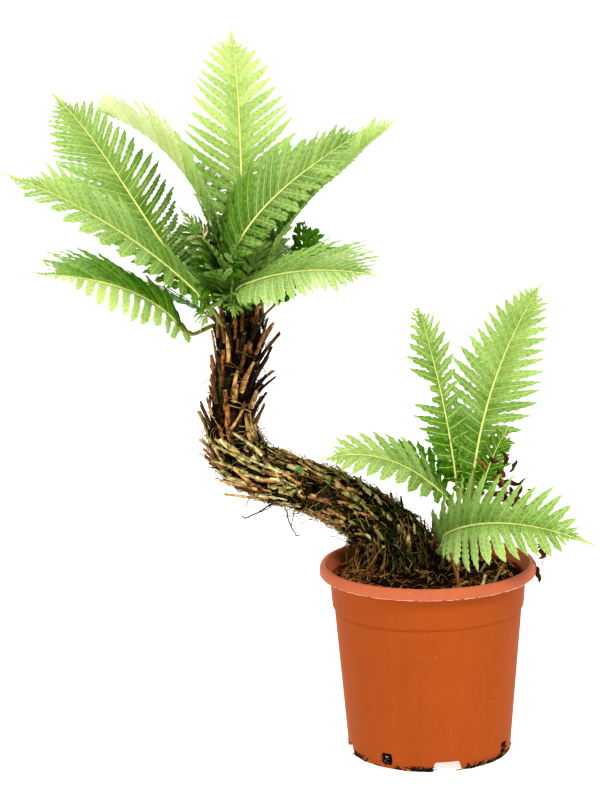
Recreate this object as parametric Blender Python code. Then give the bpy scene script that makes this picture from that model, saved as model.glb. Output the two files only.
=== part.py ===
"""Silver lady fern with a leaning trunk, in a plain nursery pot.

The origin is the centre of the pot's underside, on the ground. +Z is up, +X is to the right
and -Y is towards the viewer. Every length is in metres.

The crooked trunk leans out of the soil to the left, turns upward at a bend and carries a crown
of fronds. A young plant, the pup, stands beside its foot. Each frond is a thin blade, cut to
the rib between its leaflets.
"""
import math
import random
from collections import namedtuple

import bpy
import bmesh
from mathutils import Matrix, Vector
from mathutils.bvhtree import BVHTree

for item in list(bpy.data.objects):
    bpy.data.objects.remove(item, do_unlink=True)

# Driving dimensions
GAP = 0.0003
POT_SIDES = 40
POT_HEIGHT = 0.213
RIM_RADIUS = 0.120
RIM_OPENING = 0.112
RIM_DEPTH = 0.012
BAND_RADIUS = 0.106
BAND_FOOT = 0.165
BODY_TOP_RADIUS = 0.1037
BASE_RADIUS = 0.0905
WALL = 0.0022
FOOT_RING_WIDTH = 0.004
PLATE_UNDERSIDE = 0.010
PLATE_TOP = 0.0125
CENTRE_FOOT_RADIUS = 0.024
NOTCH_HEADINGS = (9, 99, 189, 279)
NOTCH_SIZE = (0.026, 0.011)
HOLE_HEADINGS = (52, 142, 233, 331)
HOLE_SIZE = (0.013, 0.013)
HOLE_FOOT = 0.004
CUT_FROM = 0.080
CUT_TO = 0.100

SOIL_MIDDLE = 0.194
SOIL_EDGE = 0.189
TRUNK_FOOT = Vector((-0.028, 0.052, SOIL_MIDDLE + GAP))
PUP_FOOT = Vector((0.047, 0.055, SOIL_MIDDLE + GAP))
CROWN_AXIS = Vector((-0.2006, 0.0, 0.0))
CROWN_TOP = 0.500
PUP_TOP = 0.252

FULL_TURN = 2 * math.pi
GOLDEN_ANGLE = math.radians(137.5)


# Materials
def principled(name, colour, roughness):
    material = bpy.data.materials.new(name)
    material.use_nodes = True
    shader = material.node_tree.nodes["Principled BSDF"]
    shader.inputs["Base Color"].default_value = (*colour, 1.0)
    shader.inputs["Roughness"].default_value = roughness
    shader.inputs["Metallic"].default_value = 0.0
    return material


TERRACOTTA = principled("terracotta_plastic", (0.50, 0.13, 0.055), 0.55)
SOIL = principled("potting_soil", (0.035, 0.018, 0.010), 0.95)
BARK = principled("fibrous_bark", (0.075, 0.040, 0.022), 0.9)
LEAF_MATERIALS = {
    "young": principled("young_frond", (0.40, 0.62, 0.12), 0.5),
    "mature": principled("mature_frond", (0.13, 0.34, 0.07), 0.5),
    "shaded": principled("shaded_frond", (0.05, 0.17, 0.045), 0.55),
    "dead": principled("dead_frond", (0.16, 0.07, 0.035), 0.8),
}


# Mesh helpers
def closed_object(name, points, faces, material):
    """An object from points and faces that close one body, with its faces turned outward."""
    mesh = bpy.data.meshes.new(name)
    body = bmesh.new()
    corners = [body.verts.new(point) for point in points]
    for face in faces:
        body.faces.new([corners[index] for index in face])
    bmesh.ops.recalc_face_normals(body, faces=body.faces)
    body.to_mesh(mesh)
    body.free()
    mesh.materials.append(material)
    item = bpy.data.objects.new(name, mesh)
    bpy.context.scene.collection.objects.link(item)
    return item


def bridge(first, second, sides):
    """Quads between two rings that start at the given point numbers."""
    quads = []
    for side in range(sides):
        after = (side + 1) % sides
        quads.append((first + side, first + after, second + after, second + side))
    return quads


def on_heading(heading, radius, height):
    """The point at a compass heading in degrees, counted from +X towards +Y."""
    angle = math.radians(heading)
    return Vector((radius * math.cos(angle), radius * math.sin(angle), height))


def turned_solid(name, profile, material):
    """A solid of revolution whose profile starts and ends on the axis."""
    points = [Vector((0, 0, profile[0][1]))]
    for radius, height in profile[1:-1]:
        for side in range(POT_SIDES):
            points.append(on_heading(360 * side / POT_SIDES, radius, height))
    points.append(Vector((0, 0, profile[-1][1])))
    rings = len(profile) - 2
    last = len(points) - 1
    faces = []
    for ring in range(rings - 1):
        faces += bridge(1 + ring * POT_SIDES, 1 + (ring + 1) * POT_SIDES, POT_SIDES)
    top_ring = 1 + (rings - 1) * POT_SIDES
    for side in range(POT_SIDES):
        after = (side + 1) % POT_SIDES
        faces.append((0, 1 + side, 1 + after))
        faces.append((last, top_ring + after, top_ring + side))
    return closed_object(name, points, faces, material)


def surface_tree(item):
    """A search tree over an object's finished surface."""
    graph = bpy.context.evaluated_depsgraph_get()
    return BVHTree.FromObject(item, graph)


# Pot
def build_pot():
    ring_inside = BASE_RADIUS - FOOT_RING_WIDTH
    lip_foot = POT_HEIGHT - RIM_DEPTH
    profile = [
        (0, 0),
        (CENTRE_FOOT_RADIUS - 0.002, 0),
        (CENTRE_FOOT_RADIUS, PLATE_UNDERSIDE),
        (ring_inside - 0.001, PLATE_UNDERSIDE),
        (ring_inside, 0),
        (BASE_RADIUS, 0),
        (BODY_TOP_RADIUS, BAND_FOOT - 0.0015),
        (BAND_RADIUS, BAND_FOOT),
        (BAND_RADIUS + 0.0025, lip_foot - 0.001),
        (RIM_RADIUS - 0.0015, lip_foot),
        (RIM_RADIUS, lip_foot + 0.002),
        (RIM_RADIUS, POT_HEIGHT - 0.004),
        (RIM_RADIUS - 0.002, POT_HEIGHT - 0.0005),
        (RIM_RADIUS - 0.004, POT_HEIGHT),
        (RIM_OPENING + 0.0015, POT_HEIGHT - 0.0005),
        (RIM_OPENING, POT_HEIGHT - 0.003),
        (BAND_RADIUS + 0.0025 - WALL, lip_foot - 0.002),
        (BAND_RADIUS - WALL, BAND_FOOT),
        (BODY_TOP_RADIUS - WALL, BAND_FOOT - 0.003),
        (BASE_RADIUS - WALL, PLATE_TOP),
        (0, PLATE_TOP),
    ]
    pot = turned_solid("pot", profile, TERRACOTTA)
    points = []
    faces = []
    cuts = [(heading, NOTCH_SIZE[0], -GAP, NOTCH_SIZE[1]) for heading in NOTCH_HEADINGS]
    cuts += [(heading, HOLE_SIZE[0], HOLE_FOOT, HOLE_FOOT + HOLE_SIZE[1]) for heading in HOLE_HEADINGS]
    for heading, width, foot, top in cuts:
        turn = Matrix.Rotation(math.radians(heading), 3, "Z")
        first = len(points)
        half = width / 2
        for z in (foot, top):
            for x, y in ((CUT_FROM, -half), (CUT_TO, -half), (CUT_TO, half), (CUT_FROM, half)):
                points.append(turn @ Vector((x, y, z)))
        faces += [tuple(first + k for k in (3, 2, 1, 0)), tuple(first + k for k in (4, 5, 6, 7))]
        faces += [tuple(first + k for k in quad) for quad in bridge(0, 4, 4)]
    cutter = closed_object("pot_cutter", points, faces, TERRACOTTA)
    cutter.hide_render = True
    cutter.display_type = "WIRE"
    notches = pot.modifiers.new("notches and drainage holes", "BOOLEAN")
    notches.operation = "DIFFERENCE"
    notches.solver = "EXACT"
    notches.object = cutter
    pot.data.shade_smooth()
    pot.data.set_sharp_from_angle(angle=math.radians(35))
    return pot


# Soil
def build_soil():
    """The root ball, which fills the pot up to a slightly domed top."""
    inset = WALL + GAP
    wall_top = BAND_RADIUS - inset
    profile = [
        (0, PLATE_TOP + GAP),
        (BASE_RADIUS - inset, PLATE_TOP + GAP),
        (BODY_TOP_RADIUS - inset, BAND_FOOT - 0.003),
        (wall_top, BAND_FOOT + GAP),
        (wall_top + 0.0012, SOIL_EDGE),
        (wall_top * 0.80, SOIL_MIDDLE),
        (wall_top * 0.45, SOIL_MIDDLE),
        (0, SOIL_MIDDLE),
    ]
    return turned_solid("soil", profile, SOIL)


# Trunk and pup stem
# A stub starts below the bark, at STUB_ROOT of the limb's radius. It narrows to STUB_TAPER of its
# width at the cut end and is STUB_FLATNESS times as thick as it is wide.
STUB_ROOT = 0.72
STUB_TAPER = 0.8
STUB_FLATNESS = 0.75
Station = namedtuple("Station", "place radius squash")


def smooth_route(stations, steps):
    """Stations on a smooth curve through the given ones, with steps between each two."""
    route = []
    count = len(stations)
    for index in range(count - 1):
        near = stations[max(index - 1, 0):index + 3]
        if index == 0:
            near = [stations[0]] + near
        if len(near) < 4:
            near = near + [stations[-1]]
        before, start, end, beyond = near[:4]
        for step in range(steps):
            t = step / steps
            place = 0.5 * (2 * start.place + (end.place - before.place) * t
                           + (2 * before.place - 5 * start.place + 4 * end.place - beyond.place) * t ** 2
                           + (3 * start.place - before.place - 3 * end.place + beyond.place) * t ** 3)
            radius = start.radius + (end.radius - start.radius) * t
            squash = start.squash + (end.squash - start.squash) * t
            route.append(Station(place, radius, squash))
    route.append(stations[-1])
    return route


def limb_axes(route, first_normal, last_normal, settle=1):
    """The tangent, the upright side and the level side of the limb at each station."""
    axes = []
    for index in range(len(route)):
        ahead = route[min(index + 1, len(route) - 1)].place
        behind = route[max(index - 1, 0)].place
        tangent = (ahead - behind).normalized()
        tangent = first_normal.lerp(tangent, min(index / settle, 1)).normalized()
        if index == len(route) - 1:
            tangent = last_normal
        level = Vector((0, 1, 0))
        upright = level.cross(tangent).normalized()
        level = tangent.cross(upright).normalized()
        axes.append((tangent, upright, level))
    return axes


def build_limb(name, route, axes, sides, roughness, seed):
    """A tapering limb with flat ends and a slightly uneven surface."""
    draw = random.Random(seed)
    points = []
    for index, (station, (tangent, upright, level)) in enumerate(zip(route, axes)):
        at_end = index in (0, len(route) - 1)
        for side in range(sides):
            angle = FULL_TURN * side / sides
            uneven = 0 if at_end else draw.uniform(-roughness, roughness)
            radius = station.radius + uneven
            reach = upright * math.cos(angle) * radius * station.squash + level * math.sin(angle) * radius
            points.append(station.place + reach)
    faces = [tuple(range(sides))]
    for index in range(len(route) - 1):
        faces += bridge(index * sides, (index + 1) * sides, sides)
    faces.append(tuple(range((len(route) - 1) * sides, len(route) * sides)))
    return closed_object(name, points, faces, BARK)


def drop_scraps(mesh):
    """Keeps only the largest body of a mesh that a union has left with loose scraps."""
    body = bmesh.new()
    body.from_mesh(mesh)
    waiting = set(body.faces)
    bodies = []
    while waiting:
        group = [waiting.pop()]
        for face in group:
            for edge in face.edges:
                touching = [other for other in edge.link_faces if other in waiting]
                waiting.difference_update(touching)
                group += touching
        bodies.append(group)
    bodies.sort(key=len)
    loose = [face for group in bodies[:-1] for face in group]
    bmesh.ops.delete(body, geom=loose, context="FACES")
    body.to_mesh(mesh)
    body.free()


def add_stubs(limb, route, axes, count, span, length, lean, thickness, seed):
    """Joins the cut leaf bases to a limb, on a spiral, each leaning out towards the crown."""
    draw = random.Random(seed)
    first, last = span
    faces = [(3, 2, 1, 0), (4, 5, 6, 7)] + bridge(0, 4, 4)
    stubs = []
    for number in range(count):
        share = first + (last - first) * (number + 0.5) / count
        position = share * (len(route) - 1)
        index = min(int(position), len(route) - 2)
        part = position - index
        place = route[index].place.lerp(route[index + 1].place, part)
        radius = route[index].radius * (1 - part) + route[index + 1].radius * part
        tangent, upright, level = axes[index]
        angle = number * GOLDEN_ANGLE + draw.uniform(-0.2, 0.2)
        outward = upright * math.cos(angle) * route[index].squash + level * math.sin(angle)
        tilt = math.radians(lean + draw.uniform(-6, 8))
        direction = (tangent * math.cos(tilt) + outward * math.sin(tilt)).normalized()
        sideways = tangent.cross(outward).normalized()
        width = direction.cross(sideways).normalized()
        start = place + outward * (radius * STUB_ROOT)
        end = start + direction * length * draw.uniform(0.8, 1.15)
        half = thickness * draw.uniform(0.85, 1.15)
        corners = []
        for centre, size in ((start, half), (end, half * STUB_TAPER)):
            for across, along in ((-1, -1), (1, -1), (1, 1), (-1, 1)):
                corners.append(centre + sideways * size * across + width * size * along * STUB_FLATNESS)
        stubs.append(closed_object("%s_stub_%d" % (limb.name, number), corners, faces, BARK))
    bundle = bpy.data.collections.new(limb.name + "_stubs")
    bpy.context.scene.collection.children.link(bundle)
    for stub in stubs:
        bundle.objects.link(stub)
        bpy.context.scene.collection.objects.unlink(stub)
    joiner = limb.modifiers.new("stubs", "BOOLEAN")
    joiner.operation = "UNION"
    joiner.solver = "EXACT"
    joiner.operand_type = "COLLECTION"
    joiner.collection = bundle
    graph = bpy.context.evaluated_depsgraph_get()
    joined = bpy.data.meshes.new_from_object(limb.evaluated_get(graph))
    limb.modifiers.clear()
    drop_scraps(joined)
    limb.data = joined
    for stub in stubs:
        bpy.data.objects.remove(stub, do_unlink=True)
    bpy.data.collections.remove(bundle)


def build_trunk():
    """The leaning arm and the upright neck, parted at the bend, with their leaf bases."""
    bend = Vector((-0.2125, 0.0, 0.3645))
    bend_normal = Vector((-0.10, 0.0, 1.0)).normalized()
    arm_stations = [
        Station(TRUNK_FOOT, 0.040, 1.30),
        Station(Vector((-0.036, 0.046, 0.224)), 0.038, 1.10),
        Station(Vector((-0.064, 0.032, 0.256)), 0.031, 1.0),
        Station(Vector((-0.101, 0.018, 0.283)), 0.029, 1.0),
        Station(Vector((-0.139, 0.010, 0.301)), 0.028, 1.0),
        Station(Vector((-0.178, 0.003, 0.317)), 0.029, 1.0),
        Station(Vector((-0.203, 0.000, 0.338)), 0.030, 1.0),
        Station(bend, 0.027, 1.0),
    ]
    neck_stations = [
        Station(bend + bend_normal * GAP, 0.027, 1.0),
        Station(Vector((-0.2110, 0.0, 0.394)), 0.024, 1.0),
        Station(Vector((-0.2070, 0.0, 0.422)), 0.0245, 1.0),
        Station(Vector((-0.2025, 0.0, 0.455)), 0.026, 1.0),
        Station(Vector((CROWN_AXIS.x, 0.0, 0.480)), 0.0265, 1.0),
        Station(Vector((CROWN_AXIS.x, 0.0, 0.490)), 0.021, 1.0),
        Station(Vector((CROWN_AXIS.x, 0.0, CROWN_TOP)), 0.007, 1.0),
    ]
    upward = Vector((0, 0, 1))
    arm_route = smooth_route(arm_stations, 3)
    arm_axes = limb_axes(arm_route, upward, bend_normal, 6)
    arm = build_limb("trunk_arm", arm_route, arm_axes, 12, 0.0012, 3)
    add_stubs(arm, arm_route, arm_axes, 34, (0.20, 0.86), 0.026, 15, 0.0030, 5)
    neck_route = smooth_route(neck_stations, 2)
    neck_axes = limb_axes(neck_route, bend_normal, upward)
    neck = build_limb("trunk_neck", neck_route, neck_axes, 12, 0.0008, 7)
    add_stubs(neck, neck_route, neck_axes, 42, (0.04, 0.57), 0.035, 29, 0.0028, 9)
    return arm, neck


def build_pup_stem():
    """The short stump of the young plant, with a few leaf bases of its own."""
    stations = [
        Station(PUP_FOOT, 0.020, 1.0),
        Station(PUP_FOOT + Vector((0.000, 0, 0.020)), 0.017, 1.0),
        Station(Vector((PUP_FOOT.x, PUP_FOOT.y, 0.238)), 0.015, 1.0),
        Station(Vector((PUP_FOOT.x, PUP_FOOT.y, PUP_TOP)), 0.006, 1.0),
    ]
    route = smooth_route(stations, 2)
    axes = limb_axes(route, Vector((0, 0, 1)), Vector((0, 0, 1)))
    stem = build_limb("pup_stem", route, axes, 10, 0.0006, 11)
    add_stubs(stem, route, axes, 9, (0.15, 0.45), 0.018, 24, 0.0022, 13)
    return stem


# Fronds
# Each frond leaves its stem at foot_heading and foot_height. Its stalk keeps the slope of start
# for the length of start, and then follows heading, which turns by sweep, while its slope in
# degrees passes through the three values of climb. bare is the share of the length without
# leaflets and width the longest leaflet. roll tips the blade about its own rib, at its foot and
# at its tip, lift raises the leaflets above the blade's plane and spread widens their angle.
Frond = namedtuple(
    "Frond",
    "name stem foot_heading foot_height start heading sweep climb length bare width roll lift spread leaf")

FRONDS = (
    Frond("crown_frond_front_right", "crown", 206, 0.489, (0.005, 84), 342, 1, (92, 44, 34), 0.282,
          0.16, 0.077, (50, 33), 7, 1.05, "mature"),
    Frond("crown_frond_low_right", "crown", 256, 0.489, (0.034, 84), 302, 11, (20, 9, -3), 0.244,
          0.12, 0.083, (31, 26), 4, 0.72, "mature"),
    Frond("crown_frond_middle_left", "crown", 232, 0.488, (0.004, 84), 218, -32, (47, 36, 21), 0.302,
          0.14, 0.080, (-34, -24), 6, 1.12, "mature"),
    Frond("crown_frond_low_left", "crown", 187, 0.483, (0.034, -15), 220, 15, (52, 19, 12), 0.247,
          0.22, 0.075, (-57, -10), 2, 0.95, "mature"),
    Frond("crown_frond_upright", "crown", 77, 0.490, (0.014, 84), 88, 9, (97, 59, 33), 0.355,
          0.20, 0.072, (-22, 14), -3, 1.18, "young"),
    Frond("crown_frond_right", "crown", 0, 0.486, (0.002, 84), 0, -2, (97, 47, 46), 0.283,
          0.20, 0.066, (10, 19), 18, 1.00, "young"),
    Frond("crown_frond_arching_left", "crown", 122, 0.488, (0.011, 84), 137, -5, (92, 40, 5), 0.337,
          0.20, 0.069, (40, 27), 13, 1.13, "young"),
    Frond("crown_frond_high_left", "crown", 174, 0.488, (0.004, 84), 147, -5, (38, 51, 33), 0.334,
          0.18, 0.084, (3, -36), -4, 1.07, "mature"),
    Frond("crown_frond_back", "crown", 55, 0.486, (0.0, 84), 92, 0, (62, 30, 0), 0.250,
          0.18, 0.058, (0, 0), 10, 1.0, "mature"),
    Frond("crown_frond_back_left", "crown", 143, 0.486, (0.0, 84), 120, 0, (48, 14, -14), 0.280,
          0.18, 0.062, (0, 0), 10, 1.0, "mature"),
    Frond("crown_frond_low_back_left", "crown", 152, 0.480, (0.0, 84), 165, 0, (40, 20, 0), 0.125,
          0.20, 0.036, (25, 25), 4, 1.0, "shaded"),
    Frond("crown_frond_low_back_right", "crown", 30, 0.488, (0.0, 84), 62, 0, (55, 5, -25), 0.250,
          0.18, 0.050, (0, 0), 8, 1.0, "shaded"),
    Frond("crown_frond_small", "crown", 338, 0.487, (0.0, 84), 10, 50, (42, 52, 110), 0.125,
          0.55, 0.024, (0, 0), 8, 1.0, "shaded"),
    Frond("pup_frond_tall_right", "pup", 59, 0.247, (0.011, 84), 60, -2, (84, 47, 30), 0.315,
          0.18, 0.064, (48, 7), 9, 1.04, "young"),
    Frond("pup_frond_over_rim", "soil", 0, 0.0, (0.038, 84), 287, 41, (27, 8, -17), 0.244,
          0.08, 0.076, (68, 66), 18, 0.88, "mature"),
    Frond("pup_frond_tall_left", "pup", 127, 0.246, (0.002, 84), 132, 1, (86, 75, 68), 0.239,
          0.20, 0.042, (-24, -24), 12, 1.15, "young"),
    Frond("pup_frond_arching_left", "pup", 250, 0.246, (0.005, 84), 208, 0, (51, 28, -13), 0.214,
          0.16, 0.059, (-42, -29), 5, 1.0, "mature"),
    Frond("pup_frond_short_left", "pup", 165, 0.247, (0.0, 84), 178, 6, (74, 45, 10), 0.130,
          0.22, 0.038, (-30, -30), 8, 1.0, "shaded"),
    Frond("pup_frond_short_right", "pup", 5, 0.246, (0.0, 84), 20, 0, (80, 68, 55), 0.115,
          0.30, 0.030, (20, 20), 8, 1.0, "shaded"),
    Frond("pup_frond_back", "pup", 92, 0.244, (0.0, 84), 92, 0, (65, 35, 0), 0.190,
          0.20, 0.044, (0, 0), 8, 1.0, "mature"),
    Frond("pup_frond_dead", "pup", 335, 0.236, (0.010, 84), 352, 0, (80, -45, -100), 0.140,
          0.35, 0.014, (0, 0), 0, 1.0, "dead"),
)
OVER_RIM_FOOT = Vector((0.019, 0.033, SOIL_MIDDLE))

PAIRS_PER_METRE = 72
FRAME_DETAIL = 8
RIB_HALF_WIDTH = 0.0022
RIB_EDGE = 0.0007
RIB_RIDGE = 0.0014
RIB_TAPER = 0.62
START_BLEND = 0.030

# A blade's leaflets lengthen from ROOT_SHARE of their full length over the first SWELL_SHARE of
# the blade, and shorten to SHORTEST at its tip. They lean forward from ROOT_ANGLE by ANGLE_LOSS.
ROOT_SHARE = 0.55
SWELL_SHARE = 0.3
SHORTEST = 0.006
ROOT_ANGLE = 82
ANGLE_LOSS = 44
LEAF_RIDGE = 0.0010
LEAF_HALF_WIDTH = 0.44
TIP_SWEEP = 0.10

# A leaflet that would touch something is tried again at these shares of its length and with
# these degrees added to its lift, and is left out when none of them is clear by CLEARANCE.
LEAFLET_TRIES = ((1.0, 0), (1.0, 14), (1.0, -14), (0.85, 0), (0.85, 24), (0.85, -24),
                 (0.7, 0), (0.7, 34), (0.7, -34), (0.55, 0), (0.4, 0))
CLEARANCE = 0.0005
SEATED_SECTIONS = 4
SEAT_SEARCH = 0.020
SEAT_ATTEMPTS = 20


def frond_slope(frond, along):
    """The slope in degrees at a distance along the rib."""
    start_length, start_slope = frond.start
    low, middle, high = frond.climb
    share = max(along - start_length, 0) / frond.length
    arch = low + (4 * middle - 3 * low - high) * share + (2 * low + 2 * high - 4 * middle) * share ** 2
    blend = min(max((along - start_length) / START_BLEND + 0.5, 0), 1)
    blend = blend * blend * (3 - 2 * blend)
    return start_slope + (arch - start_slope) * blend


def frond_frames(frond, foot, count):
    """Centre, tangent, right side and upper side at even steps along the rib."""
    total = frond.start[0] + frond.length
    steps = count * FRAME_DETAIL
    step = total / steps
    place = foot.copy()
    frames = []
    for number in range(steps + 1):
        along = (number + 0.5) * step
        heading = math.radians(frond.heading + frond.sweep * along / total)
        slope = math.radians(frond_slope(frond, along))
        level = Vector((math.cos(heading), math.sin(heading), 0))
        tangent = level * math.cos(slope) + Vector((0, 0, math.sin(slope)))
        right = Vector((math.sin(heading), -math.cos(heading), 0))
        upper = right.cross(tangent)
        roll = frond.roll[0] + (frond.roll[1] - frond.roll[0]) * along / total
        tip_over = Matrix.Rotation(math.radians(roll), 3, tangent)
        if number % FRAME_DETAIL == 0:
            frames.append((place.copy(), tangent, tip_over @ right, tip_over @ upper))
        place += tangent * step
    return frames


def rib_section(frame, taper):
    """The five corners of the rib: ridge, right edge above and below, left edge below and above."""
    place, tangent, right, upper = frame
    side = right * RIB_HALF_WIDTH * taper
    edge = upper * RIB_EDGE * taper
    return [
        place + upper * RIB_RIDGE * taper,
        place + side + edge,
        place + side - edge,
        place - side - edge,
        place - side + edge,
    ]


def station_taper(share):
    """The rib's width at a share of its length, as a share of its width at the foot."""
    return 1.0 - RIB_TAPER * share


def blade_shape(frond, share):
    """Length and angle of the leaflet at a share of the blade, from its foot to its tip."""
    rise = min(share / SWELL_SHARE, 1)
    swell = ROOT_SHARE + (1 - ROOT_SHARE) * rise * rise * (3 - 2 * rise)
    length = frond.width * swell * max(1 - share ** 2.2, 0) ** 0.9
    angle = math.radians((ROOT_ANGLE - ANGLE_LOSS * share ** 0.7) * frond.spread)
    return max(length, SHORTEST), angle


def leaflet_points(lower, upper_frame, side, length, angle, lift, taper, grow=0.0):
    """The corners of one leaflet between two stations: two margins, tip and ridge."""
    place = (lower[0] + upper_frame[0]) / 2
    tangent = (lower[1] + upper_frame[1]).normalized()
    right = (lower[2] + upper_frame[2]).normalized()
    above = right.cross(tangent)
    rise = math.radians(lift)
    outward = right * side * math.cos(rise) + above * math.sin(rise)
    normal = above * math.cos(rise) - right * side * math.sin(rise)
    along = tangent * math.cos(angle) + outward * math.sin(angle)
    across = tangent * math.sin(angle) - outward * math.cos(angle)
    pitch = (upper_frame[0] - lower[0]).length
    half = LEAF_HALF_WIDTH * pitch * math.sin(angle) + grow
    root = place + outward * RIB_HALF_WIDTH * taper
    tip = root + along * (length + grow) + tangent * length * TIP_SWEEP
    low = root + along * length * 0.32 - across * half
    high = root + along * length * 0.50 + across * half
    ridge = root + along * length * 0.40 + normal * (LEAF_RIDGE + grow)
    return low, tip, high, ridge, normal


def leaflet_guard(lower, upper_frame, side, length, angle, lift, taper):
    """A slightly swollen copy of a leaflet, which must touch nothing else."""
    low, tip, high, ridge, normal = leaflet_points(
        lower, upper_frame, side, length, angle, lift, taper, CLEARANCE)
    roots = []
    for place, tangent, right, upper in (lower, upper_frame):
        outward = (tip - place).normalized()
        roots.append(place + right * side * RIB_HALF_WIDTH * taper + outward * CLEARANCE)
    outline = [roots[0], low, tip, high, roots[1]]
    swell = normal * (RIB_EDGE + CLEARANCE)
    corners = [point + swell for point in outline] + [point - swell for point in outline] + [ridge]
    faces = [(number, (number + 1) % 5, 10) for number in range(5)]
    faces += [(9, 8, 7, 6, 5)] + bridge(0, 5, 5)
    return BVHTree.FromPolygons(corners, faces)


def frond_mesh(frond, foot, choices):
    """Points and faces of a frond. choices gives each leaflet's length and lift, or None."""
    pairs, bare_steps, frames = frond_layout(frond, foot)
    sections = len(frames) - 1
    points = []
    faces = [(0, 1, 2, 3, 4)]
    for index in range(sections):
        points += rib_section(frames[index], station_taper(index / sections))
    points.append(frames[-1][0])
    apex = 5 * sections
    for index in range(sections - 1):
        here = 5 * index
        there = here + 5
        faces += [(here, here + 1, there + 1, there), (here + 4, here, there, there + 4)]
        faces.append((here + 2, here + 3, there + 3, there + 2))
        for side in (1, -1):
            top, bottom = (here + 1, here + 2) if side > 0 else (here + 4, here + 3)
            top_after, bottom_after = top + 5, bottom + 5
            chosen = choices.get((index - bare_steps, side))
            if chosen is None:
                faces.append((top, bottom, bottom_after, top_after))
                continue
            length, angle, lift = chosen
            taper = station_taper((index + 0.5) / sections)
            low, tip, high, ridge, normal = leaflet_points(
                frames[index], frames[index + 1], side, length, angle, lift, taper)
            first = len(points)
            points += [low, tip, high, ridge]
            low, tip, high, ridge = range(first, first + 4)
            faces += [(top, low, ridge), (low, tip, ridge), (tip, high, ridge),
                      (high, top_after, ridge), (top_after, top, ridge)]
            faces += [(bottom, tip, low), (bottom, high, tip), (bottom, bottom_after, high)]
            faces += [(top, bottom, low), (top_after, high, bottom_after)]
    last = 5 * (sections - 1)
    for corner in range(5):
        faces.append((last + corner, last + (corner + 1) % 5, apex))
    return points, faces


def frond_layout(frond, foot):
    """Number of leaflet pairs, number of bare steps and the frames of a frond."""
    total = frond.start[0] + frond.length
    bare_length = total * frond.bare
    blade_length = total - bare_length
    pairs = round(blade_length * PAIRS_PER_METRE)
    bare_steps = max(round(bare_length / blade_length * pairs), 2)
    frames = frond_frames(frond, foot, pairs + bare_steps)
    return pairs, bare_steps, frames


def seat_frond(frond, stem_tree, surface, outward):
    """The foot, moved outward from the stem's surface until the stalk is clear of it by GAP."""
    near = 0.0
    far = SEAT_SEARCH
    for attempt in range(SEAT_ATTEMPTS):
        offset = (near + far) / 2
        points, faces = frond_mesh(frond, surface + outward * offset, {})
        lowest = points[:5 * SEATED_SECTIONS]
        crossed = stem_tree.overlap(BVHTree.FromPolygons(points, faces))
        if crossed or min(stem_tree.find_nearest(corner)[3] for corner in lowest) < GAP:
            near = offset
        else:
            far = offset
    return surface + outward * far


def build_fronds(solids):
    """All fronds, each leaflet kept clear of every solid and rib that is already there."""
    trees = {name: surface_tree(item) for name, item in solids.items()}
    stems = {"crown": (trees["trunk_neck"], CROWN_AXIS), "pup": (trees["pup_stem"], PUP_FOOT)}
    feet = {}
    for frond in FRONDS:
        if frond.stem == "soil":
            feet[frond.name] = seat_frond(frond, trees["soil"], OVER_RIM_FOOT, Vector((0, 0, 1)))
        else:
            tree, axis = stems[frond.stem]
            outward = on_heading(frond.foot_heading, 1.0, 0.0)
            outside = Vector((axis.x, axis.y, frond.foot_height)) + outward * RIM_RADIUS
            surface = tree.ray_cast(outside, -outward)[0]
            feet[frond.name] = seat_frond(frond, tree, surface, outward)
        points, faces = frond_mesh(frond, feet[frond.name], {})
        trees[frond.name] = BVHTree.FromPolygons(points, faces)
    fronds = []
    for frond in FRONDS:
        pairs, bare_steps, frames = frond_layout(frond, feet[frond.name])
        others = [tree for name, tree in trees.items() if name != frond.name]
        choices = {}
        for number in range(pairs - 1):
            share = (number + 0.5) / pairs
            length, angle = blade_shape(frond, share)
            index = bare_steps + number
            taper = station_taper((index + 0.5) / (pairs + bare_steps))
            for side in (1, -1):
                for scale, lift in LEAFLET_TRIES:
                    shape = (length * scale, angle, frond.lift + lift)
                    guard = leaflet_guard(frames[index], frames[index + 1], side, *shape, taper)
                    if not any(guard.overlap(tree) for tree in others):
                        choices[(number, side)] = shape
                        break
        points, faces = frond_mesh(frond, feet[frond.name], choices)
        item = closed_object(frond.name, points, faces, LEAF_MATERIALS[frond.leaf])
        trees[frond.name] = surface_tree(item)
        fronds.append(item)
    return fronds


parts = {"pot": build_pot(), "soil": build_soil(), "pup_stem": build_pup_stem()}
parts["trunk_arm"], parts["trunk_neck"] = build_trunk()
build_fronds(parts)
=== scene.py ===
import math
import random
from collections import namedtuple

import bpy
import bmesh
import numpy as np
from mathutils import Matrix, Vector, noise
from mathutils.bvhtree import BVHTree


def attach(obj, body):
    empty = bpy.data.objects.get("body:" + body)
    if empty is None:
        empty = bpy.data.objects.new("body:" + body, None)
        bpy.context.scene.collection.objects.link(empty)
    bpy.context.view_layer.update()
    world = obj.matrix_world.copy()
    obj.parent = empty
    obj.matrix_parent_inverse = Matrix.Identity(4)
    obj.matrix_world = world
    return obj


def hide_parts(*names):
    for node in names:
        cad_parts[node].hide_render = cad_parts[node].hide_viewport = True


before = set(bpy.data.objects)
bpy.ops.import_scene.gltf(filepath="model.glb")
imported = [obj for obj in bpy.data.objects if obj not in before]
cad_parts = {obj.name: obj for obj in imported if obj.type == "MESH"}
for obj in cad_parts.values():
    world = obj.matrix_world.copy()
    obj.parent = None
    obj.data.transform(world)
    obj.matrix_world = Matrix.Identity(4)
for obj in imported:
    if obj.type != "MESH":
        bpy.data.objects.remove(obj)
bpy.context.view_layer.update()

FULL_TURN = 2 * math.pi
GOLDEN_ANGLE = math.radians(137.5)
UP = np.array((0.0, 0.0, 1.0))


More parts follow.
